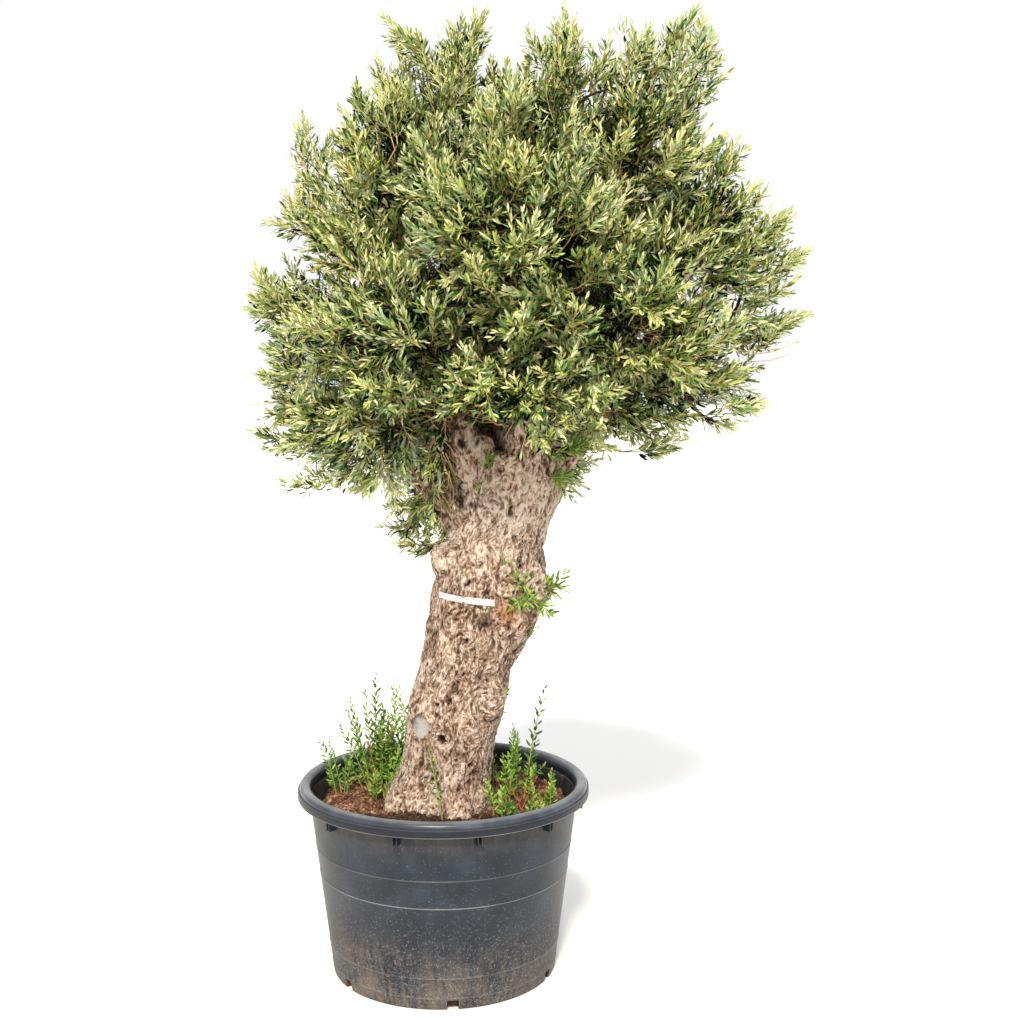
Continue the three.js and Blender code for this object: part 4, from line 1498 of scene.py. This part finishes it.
def moulded_pot():
    """Black recycled polypropylene, moulded: satin, gone grey in the sun, scuffed, with dust low down.
    Painted skylight on the roll, painted shade on the rim's skirt and painted highlights on its edges.
    """
    material, node = new_material("pot_moulded_polypropylene_dusty")
    spot = node("TexCoord").outputs["Object"]
    axes = node("SeparateXYZ", {"Vector": spot})
    height = axes.outputs["Z"]
    cloud = node("TexNoise", {"Vector": spot, "Scale": 14, "Detail": 5, "Roughness": 0.6})
    # Rain has washed the dust into upright runs about 9 mm apart.
    upright = node("Mapping", {"Vector": spot, "Scale": (1, 1, 0.05)})
    runs = node("TexNoise", {"Vector": upright, "Scale": 105, "Detail": 3})
    # Fine dried traces: the level lines of a noise of 5 mm, where a second noise lets them show.
    maze = node("TexNoise", {"Vector": spot, "Scale": 135, "Detail": 0.6, "Distortion": 1.6})
    trace = node("ValToRGB", {"Fac": maze}, stops=[(0.455, 0.0), (0.485, 1.0), (0.515, 1.0), (0.545, 0.0)])
    part = node("TexNoise", {"Vector": spot, "Scale": 170, "Detail": 2})
    part = node("Math", {0: height, 1: -0.85, 2: part}, operation="MULTIPLY_ADD")
    part = node("MapRange", {"Value": part, "From Min": 0.385, "From Max": 0.44})
    trace = node("Math", {0: trace, 1: part}, operation="MULTIPLY")
    grit = node("TexVoronoi", {"Vector": spot, "Scale": 150})
    grit = node("MapRange", {"Value": grit, "From Min": 0.13, "From Max": 0.07, "To Max": 0.75})
    low = node("MapRange", {"Value": height, "From Min": 0.175, "From Max": -0.01, "To Min": 0.0})
    ragged = node("Math", {0: cloud, 1: runs}, operation="ADD")
    ragged = node("MapRange", {"Value": ragged, "From Min": 0.84, "From Max": 1.16, "To Max": 1.15})
    dust = node("Math", {0: low, 1: ragged}, operation="MULTIPLY", use_clamp=True)
    side = {"Value": axes.outputs["X"], "From Min": 0.1, "From Max": -0.27, "To Min": 0.55, "To Max": 1.35}
    side = node("MapRange", side)
    dust = node("Math", {0: dust, 1: side}, operation="MULTIPLY", use_clamp=True)
    colour = node("ValToRGB", {"Fac": cloud}, stops=[(0.3, "#1b2129"), (0.5, "#222831"), (0.7, "#2b3440")])
    # Traces show faintly on the clean wall and thickly in the dust.
    thick = {"Value": height, "From Min": 0.34, "From Max": 0.06, "To Min": 0.12, "To Max": 0.58}
    thick = node("MapRange", thick)
    thick = node("Math", {0: thick, 1: trace}, operation="MULTIPLY")
    # The rolled rim is painted paler than the wall: painted skylight on its top, with some fading in the
    # sun.
    roll = node("MapRange", {"Value": height, "From Min": 0.4160, "From Max": 0.4200, "To Max": 0.95})
    faded_and_skylit = node("ValToRGB", {"Fac": cloud}, stops=[(0.3, "#2b313b"), (0.5, "#373e4a"), (0.7, "#505967")])
    share = node("MapRange", {"Value": height, "From Max": RAMP_HEIGHT * MM})
    ledge, neck = RIM["ledge_height"], POT_WALL["neck_height"]
    # The rim's skirt is painted darker blue black, painted shade under the roll, and a brown dust has
    # settled on the wall below it.
    # The mould's raised lines and the edges of the rim are painted pale: painted highlights, with some
    # rubbing.
    skirt = [(neck - 0.5, 0.0), (neck + 0.5, 0.9), (ledge - 1, 0.9), (ledge + 2, 0.0)]
    settled = [(neck - 70, 0.0), (neck - 8, 0.55), (neck - 1, 0.65), (neck, 0.0)]
    rubbed_and_highlit = [(neck - 0.5, 0.0), (neck + 0.8, 0.85), (neck + 2.2, 0.0), (ledge - 2.0, 0.0)]
    rubbed_and_highlit += [(ledge - 0.4, 0.35), (ledge + 0.8, 0.0), (ledge + 9, 0.0), (ledge + 13, 0.5)]
    for line, _ in MOULD_LINES:
        rubbed_and_highlit += [(line - 0.9, 0.0), (line, 0.70 if line > 100 else 0.35), (line + 0.9, 0.0)]
    bands = ([(at / RAMP_HEIGHT, value) for at, value in sorted(band)] for band in (skirt, settled, rubbed_and_highlit))
    skirt, settled, rubbed_and_highlit = (node("ValToRGB", {"Fac": share}, stops=band) for band in bands)
    settled = node("Math", {0: settled, 1: ragged}, operation="MULTIPLY", use_clamp=True)
    rubbed_and_highlit = node("Math", {0: rubbed_and_highlit, 1: cloud}, operation="MULTIPLY")
    rubbed_and_highlit = node("Math", {0: rubbed_and_highlit, 1: 1.4}, operation="MULTIPLY", use_clamp=True)
    coats = [
        # how much, the colour
        (dust, linear("#60564d")),
        (thick, linear("#8e867c")),
        (grit, linear("#8d8a85")),
        (roll, faded_and_skylit),
        # Painted shade on the rim's skirt, and painted highlights on the edges and mould lines.
        (skirt, linear("#171c25")),
        (settled, linear("#4a433b")),
        (rubbed_and_highlit, linear("#9a9a99")),
    ]
    for amount, over in coats:
        sockets = {AMOUNT: amount, UNDER: colour, OVER: over}
        colour = node("Mix", sockets, data_type="RGBA").outputs[MIXED]
    rough = node("MapRange", {"Value": dust, "To Min": 0.42, "To Max": 0.85})
    # Hands have polished the roll.
    rough = node("Math", {0: roll, 1: -0.14, 2: rough}, operation="MULTIPLY_ADD")
    pebble = node("TexNoise", {"Vector": spot, "Scale": 700, "Detail": 3})
    bump = node("Bump", {"Height": pebble, "Strength": 0.25, "Distance": 0.3 * MM})
    bump = node("Bump", {"Height": cloud, "Strength": 0.3, "Distance": 3 * MM, "Normal": bump})
    shader = node(
        "BsdfPrincipled",
        {"Base Color": colour, "Roughness": rough, "Normal": bump, "Specular IOR Level": 0.3},
    )
    node("OutputMaterial", {"Surface": shader})
    return material


def build_pot():
    """The nursery pot: a turned shell with notches cut in its foot, and thin ribs under its rim."""
    finish = moulded_pot()
    bm = bmesh.new()
    turned(bm, pot_profile(), POT_STEPS)
    shell = piece_from_bmesh("pot_shell", bm, [finish])
    notch = DRAIN_NOTCH
    size = (notch["width"], notch["depth"], notch["height"] * 2)
    centre = (0, -POT_WALL["foot_radius"], 0)
    cutters = ring_of_blocks(notch["count"], notch["first"], size, centre, notch["corner"])
    cutter = piece_from_bmesh("notch_cutter", cutters, [finish], False)
    cut = shell.modifiers.new("notches", "BOOLEAN")
    cut.operation = "DIFFERENCE"
    cut.solver = "EXACT"
    cut.object = cutter
    applied(shell)
    bpy.data.objects.remove(cutter)
    shell.data.shade_smooth()
    ease = shell.modifiers.new("corners", "EDGE_SPLIT")
    ease.split_angle = math.radians(40)
    root_piece(applied(shell), "pot_plastic", "pot")

    rib = RIM_RIBS
    top = POT_WALL["neck_height"] + 4
    size = (rib["thick"], rib["reach"] + 8, rib["drop"] + 4)
    radius = POT_WALL["neck_radius"] + rib["reach"] / 2 - 4
    half = math.degrees(math.asin(rib["apart"] / 2 / radius))
    ribs = bmesh.new()
    for side in (-half, half):
        ring = ring_of_blocks(
            rib["count"], rib["first"] + side, size, (0, -radius, top - size[2] / 2), 0.5, rib_foot
        )
        take_in(ribs, ring)
    root_piece(piece_from_bmesh("pot_rim_ribs", ribs, [finish], False), "pot_plastic")


build_pot()


# -------- soil

# The soil lies below the top of its place by sunk. The heap on the left and at the front stands higher.
HEAP = {
    "flat_radius": 0.135,
    "ridge_radius": 0.205,
    "high": 0.022,
    "sunk": 0.014,
    "left": 0.012,
    "front": 0.022,
}
# How many lie there, the ring in which they lie, and their sizes in mm.
CRUMBS = {"count": 2600, "ring": (0.10, 0.276), "size": (1.6, 7.5)}
LITTER = {"count": 190, "ring": (0.11, 0.262), "length": (12, 26), "width": (2.0, 6.0)}


def soil_height(x, y, level):
    """Height of the soil at a place: a low uneven ring round the trunk, with clods."""
    spots = np.stack([x, y, np.zeros_like(x)], axis=1)
    radius = np.hypot(x, y)
    ring = smooth_step(HEAP["flat_radius"], HEAP["ridge_radius"], radius)
    ring = ring * (1 - 1.5 * smooth_step(0.262, 0.290, radius))
    heap = HEAP["high"] * ring * (0.75 + 0.6 * noise_at(spots, 0.11))
    higher = HEAP["left"] * smooth_step(-0.10, -0.17, x) + HEAP["front"] * smooth_step(-0.14, -0.19, y)
    heap = heap + higher * (1 - smooth_step(0.245, 0.275, radius))
    clods = 5.5 * MM * noise_at(spots, 0.030, 3) + 2.4 * MM * noise_at(spots, 0.009, 2, 4.4)
    crack = 3.0 * MM * (1 - np.abs(noise_at(spots, 0.017, 1, 9.2)) * 3)
    return level + heap + clods + np.clip(crack, -3 * MM, 3 * MM) * 0.6


def garden_soil():
    """Dry loam with bits of peat: brown crumbs of many tones, paler and warmer in places, quite dull, with
    the rim's shadow painted across the front.
    """
    material, node = new_material("soil_dry_crumbled_loam")
    spot = node("TexCoord").outputs["Object"]
    patch = node("TexNoise", {"Vector": spot, "Scale": 26, "Detail": 4})
    # Crumbs of 3 to 6 mm, each with a tone of its own.
    crumb = node("TexVoronoi", {"Vector": spot, "Scale": 210, "Randomness": 1.0})
    tone = node("SeparateXYZ", {"Vector": crumb.outputs["Color"]}).outputs["X"]
    grain = node("TexNoise", {"Vector": spot, "Scale": 650, "Detail": 3})
    mix = node("Math", {0: tone, 1: 0.45, 2: patch}, operation="MULTIPLY_ADD")
    mix = node("Math", {0: grain, 1: 0.35, 2: mix}, operation="MULTIPLY_ADD")
    colour = node(
        "ValToRGB",
        {"Fac": node("MapRange", {"Value": mix, "From Min": 0.5, "From Max": 1.35})},
        stops=[(0.0, "#24170f"), (0.30, "#4b3324"), (0.55, "#76543f"), (0.78, "#a07c63"), (1.0, "#cfb196")],
    )
    # Painted shadow: the soil in front of the trunk is painted dark, as the rim's shadow.
    front = node("SeparateXYZ", {"Vector": spot}).outputs["Y"]
    painted_rim_shadow = node("MapRange", {"Value": front, "From Min": -0.175, "From Max": -0.205, "To Max": 0.80})
    sockets = {AMOUNT: painted_rim_shadow, UNDER: colour, OVER: linear("#1c1510")}
    colour = node("Mix", sockets, data_type="RGBA").outputs[MIXED]
    bump = node("Bump", {"Height": crumb, "Strength": 0.7, "Distance": 2 * MM})
    bump = node("Bump", {"Height": grain, "Strength": 0.5, "Distance": 0.8 * MM, "Normal": bump})
    shader = node(
        "BsdfPrincipled",
        {"Base Color": colour, "Roughness": 0.95, "Normal": bump, "Specular IOR Level": 0.2},
    )
    node("OutputMaterial", {"Surface": shader})
    return material


def places_in_ring(ring, count, rng):
    """Places strewn evenly over a flat ring, as x and y."""
    radius = np.sqrt(rng.uniform(ring[0] ** 2, ring[1] ** 2, count))
    angle = rng.uniform(0, 2 * math.pi, count)
    return radius * np.cos(angle), radius * np.sin(angle)


def build_soil():
    """The soil's body, loose crumbs on it, and a litter of old olive leaves and bits of stem."""
    rng = np.random.default_rng(SEED + 11)
    finish = garden_soil()
    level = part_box("soil")[1][2] - HEAP["sunk"]
    wall = POT_WALL["thick"] + 0.6
    profile = [(0, 9), (wall_radius(9) - wall - 4, 9)]
    profile += [(wall_radius(h) - wall, h) for h in (16, 60, 120, 180, 240, 300, 345)]
    edge = wall_radius(352) - wall
    profile += [(r, level / MM) for r in np.linspace(edge, 0, 90)]
    bm = bmesh.new()
    turned(bm, profile, 260)
    body = piece_from_bmesh("soil_body", bm, [finish])
    mesh = body.data
    points, _ = mesh_arrays(body)
    top = points[:, 2] > level - 1e-4
    points[top, 2] = soil_height(points[top, 0], points[top, 1], level)
    mesh.vertices.foreach_set("co", points.ravel())
    mesh.update()
    root_piece(body, "soil", "soil")

    ball = bmesh.new()
    bmesh.ops.create_icosphere(ball, subdivisions=1, radius=1)
    shape = np.array([vert.co[:] for vert in ball.verts])
    sides = np.array([[vert.index for vert in face.verts] for face in ball.faces])
    ball.free()
    count = CRUMBS["count"]
    x, y = places_in_ring(CRUMBS["ring"], count, rng)
    size = CRUMBS["size"][0] + (CRUMBS["size"][1] - CRUMBS["size"][0]) * rng.random(count) ** 3
    size = size * MM
    ground = np.stack([x, y, soil_height(x, y, level) + size * 0.25], axis=1)
    knobs = shape[None] * (1 + rng.uniform(-0.32, 0.32, (count, len(shape), 1)))
    knobs = knobs * rng.uniform(0.6, 1.25, (count, 1, 3)) * size[:, None, None]
    faces = (np.arange(count)[:, None, None] * len(shape) + sides).reshape(-1, 3)
    crumbs = piece_from_arrays("soil_crumbs", (ground[:, None] + knobs).reshape(-1, 3), faces, [finish])
    root_piece(crumbs, "soil")

    count = LITTER["count"]
    x, y = places_in_ring(LITTER["ring"], count, rng)
    heading = unit(np.stack([rng.normal(0, spread, count) for spread in (1, 1, 0.25)], axis=1))
    upper = unit(np.cross(heading, rng.normal(0, 1, (count, 3)) * 0.4 + np.cross(UP, heading)))
    leaves = {
        "spot": np.stack([x, y, soil_height(x, y, level) + 3.0 * MM], axis=1),
        "run": heading,
        "upper": upper,
        "length": rng.uniform(*LITTER["length"], count) * MM,
        "width": rng.uniform(*LITTER["width"], count) * MM,
        "pick": np.where(rng.random(count) < 0.85, DEAD, YELLOWED),
    }
    root_piece(leaf_piece("soil_litter", leaves, rng), "leaves")


build_soil()


# -------- tag

# Its heights and thickness in mm, where the waist is as a share of its length, and its slope in degrees.
STRIP = {"left": 13.5, "waist": 8.5, "right": 14.5, "thick": 0.5, "proud": 1.6}
STRIP.update(waist_at=0.45, slope=-4.5)
# Where the strip was pressed on, a little off the middle of its place: to the right and up, in mm.
PRESSED = (6.0, 7.0)


def bare_label():
    """A calendered white plastic label: smooth and a little glossy, with the faintest waviness."""
    material, node = new_material("tag_white_label_plastic")
    spot = node("TexCoord").outputs["Object"]
    wave = node("TexNoise", {"Vector": spot, "Scale": 45, "Detail": 2})
    grime = node("TexNoise", {"Vector": spot, "Scale": 230, "Detail": 4})
    colour = node("ValToRGB", {"Fac": grime}, stops=[(0.30, "#a5a39e"), (0.50, "#c3c3c2")])
    bump = node("Bump", {"Height": wave, "Strength": 0.3, "Distance": 1.5 * MM})
    shader = node("BsdfPrincipled", {"Base Color": colour, "Roughness": 0.35, "Normal": bump, "IOR": 1.5})
    node("OutputMaterial", {"Surface": shader})
    return material


def build_tag():
    """The blank strip across the trunk, in two lengths with a waist between, bent to the bark's crests."""
    low, high = (np.array(corner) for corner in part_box("tag"))
    points, triangles = mesh_arrays(trunk_bark)
    bark = BVHTree.FromPolygons(points.tolist(), triangles.tolist())
    low, high = (corner + [PRESSED[0] * MM, 0, PRESSED[1] * MM] for corner in (low, high))
    slope = math.tan(math.radians(STRIP["slope"]))
    middle = (low + high) / 2
    xs = np.linspace(low[0] + 1 * MM, high[0] - 1 * MM, 49)
    front = []
    for x in xs:
        z = middle[2] + (x - middle[0]) * slope
        sights = [Vector((x, -1, z + up * MM)) for up in (-6, -3, 0, 3, 6)]
        spots = [bark.ray_cast(sight, Vector((0, 1, 0)))[0] for sight in sights]
        front.append(min(spot.y for spot in spots if spot))
    bend = np.polynomial.polynomial.polyfit(xs - middle[0], front, 3)
    line = np.polynomial.polynomial.polyval(xs - middle[0], bend)
    line = line - max(0, (line - np.array(front)).max() * 0.55) - STRIP["proud"] * MM
    bm = bmesh.new()
    bmesh.ops.create_grid(bm, x_segments=48, y_segments=6, size=0.5)
    for vert in bm.verts:
        share = vert.co.x + 0.5
        gap = abs(share - STRIP["waist_at"])
        tall = STRIP["left"] if share < STRIP["waist_at"] else STRIP["right"]
        tall = STRIP["waist"] + (tall - STRIP["waist"]) * float(smooth_step(0.004, 0.045, gap))
        x = low[0] + share * (high[0] - low[0])
        z = middle[2] + (x - middle[0]) * slope + vert.co.y * tall * MM
        vert.co = (x, float(np.interp(x, xs, line)), z)
    bmesh.ops.recalc_face_normals(bm, faces=bm.faces)
    bmesh.ops.solidify(bm, geom=bm.faces[:], thickness=STRIP["thick"] * MM)
    bmesh.ops.recalc_face_normals(bm, faces=bm.faces)
    root_piece(piece_from_bmesh("tag_strip", bm, [bare_label()], False), "tag_plastic", "tag")


build_tag()


# -------- young shoots from the foot and the bark

SUCKERS = [
    # foot x and y, how many, shortest and longest, lean of the tip in x and y, leaf and gap in mm, light
    (-0.242, 0.002, 1, 0.125, 0.125, -0.035, -0.01, 12, 8.5, 0.35),
    (-0.230, 0.004, 1, 0.110, 0.110, -0.026, 0.00, 12, 8.5, 0.40),
    (-0.228, 0.008, 3, 0.050, 0.092, 0.000, 0.00, 12, 6.5, 0.75),
    (-0.170, 0.039, 1, 0.165, 0.165, -0.078, 0.00, 13, 9.0, 0.40),
    (-0.170, 0.042, 1, 0.178, 0.178, -0.060, 0.02, 13, 9.5, 0.35),
    (-0.167, 0.039, 1, 0.205, 0.205, -0.048, 0.00, 13, 10.0, 0.30),
    (-0.172, 0.052, 2, 0.060, 0.120, -0.034, 0.00, 13, 7.0, 0.75),
    (-0.164, 0.097, 1, 0.205, 0.205, -0.015, 0.00, 14, 9.5, 0.35),
    (-0.158, 0.097, 1, 0.243, 0.243, 0.002, 0.00, 14, 10.0, 0.25),
    (-0.146, 0.094, 2, 0.130, 0.175, 0.006, 0.00, 14, 8.0, 0.45),
    (-0.152, 0.100, 5, 0.070, 0.125, 0.000, 0.00, 14, 6.5, 0.75),
    (-0.150, 0.127, 2, 0.120, 0.150, 0.020, 0.00, 12, 9.0, 0.35),
    (-0.150, 0.000, 4, 0.022, 0.046, 0.010, -0.01, 13, 5.5, 0.80),
    (-0.132, 0.150, 3, 0.080, 0.140, 0.004, 0.02, 13, 7.0, 0.35),
    (-0.120, 0.080, 2, 0.050, 0.085, 0.012, 0.00, 12, 7.0, 0.80),
    (0.180, 0.030, 1, 0.236, 0.236, 0.050, 0.00, 17.5, 15.5, 0.15),
    (0.146, -0.040, 1, 0.158, 0.158, 0.010, 0.00, 13, 10.0, 0.30),
    (0.174, 0.030, 2, 0.080, 0.123, 0.018, 0.00, 13, 8.5, 0.45),
    (0.150, 0.020, 3, 0.045, 0.080, -0.006, 0.00, 13, 7.0, 0.75),
    (0.190, 0.025, 2, 0.035, 0.070, 0.018, 0.00, 12, 6.5, 0.80),
    (0.118, 0.120, 2, 0.045, 0.070, 0.006, 0.00, 12, 6.5, 0.70),
    (0.236, -0.120, 1, 0.084, 0.084, 0.006, 0.00, 11, 7.0, 0.75),
    (0.228, -0.110, 3, 0.035, 0.055, 0.010, 0.00, 12, 6.0, 0.80),
    (0.214, -0.130, 2, 0.030, 0.056, -0.006, 0.00, 12, 6.5, 0.65),
    (0.189, -0.155, 2, 0.015, 0.024, 0.000, 0.00, 10, 5.0, 0.50),
    (0.118, -0.188, 2, 0.045, 0.080, -0.014, 0.00, 14, 7.0, 0.80),
    (0.130, -0.192, 5, 0.018, 0.034, 0.008, -0.01, 16, 5.5, 0.35),
    (0.006, -0.196, 1, 0.155, 0.155, -0.030, 0.02, 12, 13.0, 0.30),
    (0.060, 0.170, 3, 0.060, 0.180, 0.010, 0.03, 14, 7.5, 0.60),
    (-0.110, 0.170, 3, 0.060, 0.190, -0.020, 0.02, 14, 7.5, 0.60),
    (-0.020, 0.205, 3, 0.040, 0.120, 0.000, 0.02, 14, 6.5, 0.80),
    (0.150, 0.150, 3, 0.030, 0.090, 0.010, 0.02, 14, 6.5, 0.80),
]
# The height above the floor that the shoots' lengths are counted from, a little over the soil.
SHOOT_LEVEL = 0.400
# The side that their leaves turn to.
SHOOT_FACING = np.array([0.15, -1.0, 0.5])
DEAD_SHOOTS = [
    # foot x and y, length, lean of the tip in x and y
    (-0.160, 0.060, 0.150, -0.050, 0.00),
    (-0.152, 0.055, 0.135, -0.046, 0.02),
    (-0.142, 0.110, 0.140, 0.020, 0.00),
    (0.150, -0.070, 0.050, -0.030, 0.00),
    (0.172, -0.060, 0.060, 0.045, 0.02),
    (0.176, -0.066, 0.048, -0.040, 0.03),
    (0.160, -0.045, 0.055, 0.050, -0.01),
]
BARK_SPRIGS = [
    # x and z on the trunk's front, how many, longest, which way they grow, leaf length in mm
    (0.212, 0.862, 6, 0.082, (0.85, -0.35, 0.42), 22),
    (0.180, 0.850, 5, 0.052, (0.15, -0.90, -0.10), 20),
    (0.168, 0.880, 4, 0.048, (-0.20, -0.75, 0.60), 19),
    (0.196, 0.755, 5, 0.040, (0.90, -0.10, 0.55), 12),
    (0.208, 0.838, 3, 0.058, (0.45, -0.60, -0.55), 18),
    (0.148, 0.615, 4, 0.042, (0.60, -0.40, 0.80), 12),
    (0.128, 0.595, 3, 0.016, (0.20, -0.90, 0.30), 9),
    (0.084, 1.212, 8, 0.042, (0.10, -0.80, 0.45), 14),
    (0.098, 1.150, 7, 0.038, (0.35, -0.80, 0.15), 14),
    (0.076, 1.098, 3, 0.022, (0.20, -0.90, -0.20), 11),
    (0.010, 0.972, 4, 0.018, (-0.40, -0.60, 0.30), 9),
    (0.236, 1.118, 6, 0.085, (0.90, -0.25, -0.10), 19),
    (0.262, 1.172, 6, 0.085, (0.80, -0.45, 0.30), 20),
    (0.240, 1.150, 6, 0.080, (0.85, -0.30, 0.25), 19),
    (0.054, 0.905, 1, 0.010, (0.10, -0.90, 0.30), 8),
    (0.135, 0.930, 3, 0.020, (0.30, -0.90, 0.20), 10),
    (-0.078, 0.552, 4, 0.104, (-0.28, -0.10, 0.95), 14),
]


def shoot_table(bases, starts, finishes, lengths, leaf, gap, light, slim, rng):
    """Stems of young shoots, in the same table as the crown's. slim bounds a leaf's width to its length."""
    count = len(bases)
    lengths = np.asarray(lengths)
    return {
        "base": np.asarray(bases),
        "start": unit(np.asarray(starts)),
        "finish": unit(np.asarray(finishes)),
        "length": lengths,
        "pairs": np.maximum(3, (lengths / gap).astype(int)),
        "leaf": np.asarray(leaf) * rng.uniform(1.15, 1.4, count) * MM,
        "width": rng.uniform(*slim, count),
        "angle": rng.uniform(0.80, 1.10, count),
        "bare": np.full(count, 0.10),
        "light": np.asarray(light) + rng.normal(0, 0.08, count),
        "tint": rng.random(count),
        "roll": rng.uniform(0, math.pi, count),
        "radius": 1.4 * MM + lengths * 0.004,
        "mass": np.zeros(count, int),
        "spray": np.arange(count),
        "leader": np.full(count, 2.0),
    }


def build_shoots(name, stems, dead, rng):
    """Leaves and stems of a set of young shoots, two joined pieces. Dead ones are brown and nearly bare."""
    stems["spray"] = np.arange(len(dead))
    leaves = leaves_on(stems, rng)
    towards = SHOOT_FACING * rng.uniform(0.3, 1.1, (len(leaves["upper"]), 1))
    facing = unit(leaves["upper"] + towards)
    leaves["upper"] = unit(facing - leaves["run"] * (facing * leaves["run"]).sum(1)[:, None])
    owner = leaves["owner"]
    count = len(owner)
    # A shoot in less light gets a darker green: painted shade.
    level = np.clip(np.round(rng.normal(-0.45, 0.55, count) + 2.1 * stems["light"][owner]), 0, 2)
    leaves["pick"] = np.where(dead[owner], DEAD, SHOOT_GREENS + level).astype(int)
    root_piece(leaf_piece(name + "_leaves", leaves, rng), "leaves")
    points, faces, picks = stem_tubes(stems, 5, 4, np.where(dead, DRY_ORANGE, GREEN_STEM))
    root_piece(piece_from_arrays(name + "_stems", points, faces, TWIGS, picks), "leaves")


def basal_suckers():
    """The olive's own upright shoots from the soil round its foot, a few of them dead and brown."""
    rng = np.random.default_rng(SEED + 23)
    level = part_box("soil")[1][2] - HEAP["sunk"]
    rows = {key: [] for key in "base start finish length leaf gap light dead".split()}

    def shoot(foot, lean, length, leaf, gap, light, dead):
        """Adds one shoot. Its tip ends lean metres beside its foot."""
        ground = float(soil_height(np.array([foot[0]]), np.array([foot[1]]), level)[0])
        length = length + max(SHOOT_LEVEL - ground, 0) * 1.1
        slope = np.array(lean) / length
        rows["base"].append((foot[0], foot[1], ground - 3 * MM))
        rows["start"].append((slope[0] * 0.7 + rng.normal(0, 0.05), slope[1] * 0.7, 1))
        rows["finish"].append((slope[0] * 1.3, slope[1] * 1.3, 1))
        for key, value in zip("length leaf gap light dead".split(), (length, leaf, gap, light, dead)):
            rows[key].append(value)

    for x, y, count, shortest, longest, lean_x, lean_y, leaf, gap, light in SUCKERS:
        for number in range(count):
            spread = rng.normal(0, 1, 2) * (count > 1)
            length = longest if number == 0 else rng.uniform(shortest, longest)
            foot = (x + spread[0] * 9 * MM, y + spread[1] * 9 * MM)
            lean = (lean_x + spread[0] * 0.10 * length, lean_y + spread[1] * 0.10 * length)
            shoot(foot, lean, length, leaf, gap, light, False)
    for x, y, length, lean_x, lean_y in DEAD_SHOOTS:
        shoot((x, y), (lean_x, lean_y), length, 9, 22.0, 0.0, True)
    gap = np.array(rows["gap"]) * MM
    shape = [rows[key] for key in "base start finish length leaf".split()]
    mains = shoot_table(*shape, gap, rows["light"], (0.32, 0.40), rng)
    tall = (mains["length"] > 0.12) & (gap < 9 * MM)
    branched = {key: value[tall] for key, value in mains.items()}
    sides = side_stems(branched, np.zeros(tall.sum(), bool), rng)
    short = (sides["length"] < 0.085) & (rng.random(len(sides["length"])) < 0.5)
    sides = {key: value[short] for key, value in sides.items()}
    sides["pairs"] = np.maximum(3, (sides["length"] / (8.0 * MM)).astype(int))
    sides["radius"] = sides["radius"] * 0.8
    dead = np.concatenate([np.array(rows["dead"]), np.zeros(len(sides["length"]), bool)])
    build_shoots("suckers", stems_joined(mains, sides), dead, rng)


def bark_sprigs():
    """Short green sprigs that break from the old bark and its knots."""
    rng = np.random.default_rng(SEED + 29)
    bases, starts, finishes, lengths, leaf = [], [], [], [], []
    for x, z, count, longest, way, size in BARK_SPRIGS:
        spot = front_of(trunk_front, x, z)
        for number in range(count):
            heading = np.array(way) + rng.normal(0, 0.38, 3) * (number > 0)
            bases.append(spot + rng.normal(0, 0.004, 3) * (number > 0) - unit(np.array(way)) * 4 * MM)
            starts.append(heading)
            finishes.append(heading + UP * 0.45)
            lengths.append(longest * (1.0 if number == 0 else rng.uniform(0.45, 0.95)))
            leaf.append(size)
    light = rng.uniform(0.35, 0.95, len(bases))
    stems = shoot_table(bases, starts, finishes, lengths, leaf, 9.5 * MM, light, (0.18, 0.24), rng)
    build_shoots("bark_sprigs", stems, np.zeros(len(bases), bool), rng)


basal_suckers()
bark_sprigs()


build_crown()

# -------- stage


# The sun's width is in degrees, the lens in mm, and the camera looks down by the tilt in degrees.
SUN = {"power": 4.0, "width": 9, "colour": "#fff4e4", "way": (0.10, 1.0, -0.92)}
LENS = 51.5
EYE_TILT = 6.6
FLOOR_RADIUS = 30


def build_stage():
    """A pale floor under a white sky, a soft sun and the camera."""
    bm = bmesh.new()
    bmesh.ops.create_circle(bm, cap_ends=True, segments=96, radius=FLOOR_RADIUS)
    floor = piece_from_bmesh("floor", bm, [plain_finish("floor_pale_paper", "#f5f5f4", 0.9, 0.1)], False)

    world = bpy.data.worlds.new("studio")
    bpy.context.scene.world = world
    world.use_nodes = True
    world.node_tree.nodes["Background"].inputs[0].default_value = linear("#ffffff")
    world.node_tree.nodes["Background"].inputs[1].default_value = 1.0

    lamp = bpy.data.lights.new("key", "SUN")
    lamp.energy = SUN["power"]
    lamp.angle = math.radians(SUN["width"])
    lamp.color = linear(SUN["colour"])[:3]
    holder = place(bpy.data.objects.new("key", lamp))
    holder.rotation_euler = Vector(SUN["way"]).to_track_quat("-Z", "Y").to_euler()

    eye = bpy.data.cameras.new("camera")
    eye.sensor_width = 36
    eye.lens = LENS
    eye.clip_end = 100
    camera = place(bpy.data.objects.new("camera", eye))
    camera.location = (EYE["x"], -EYE["away"], EYE["z"])
    camera.rotation_euler = (math.radians(90 - EYE_TILT), 0, 0)
    bpy.context.scene.camera = camera
    bpy.context.scene.view_settings.view_transform = "Standard"


build_stage()
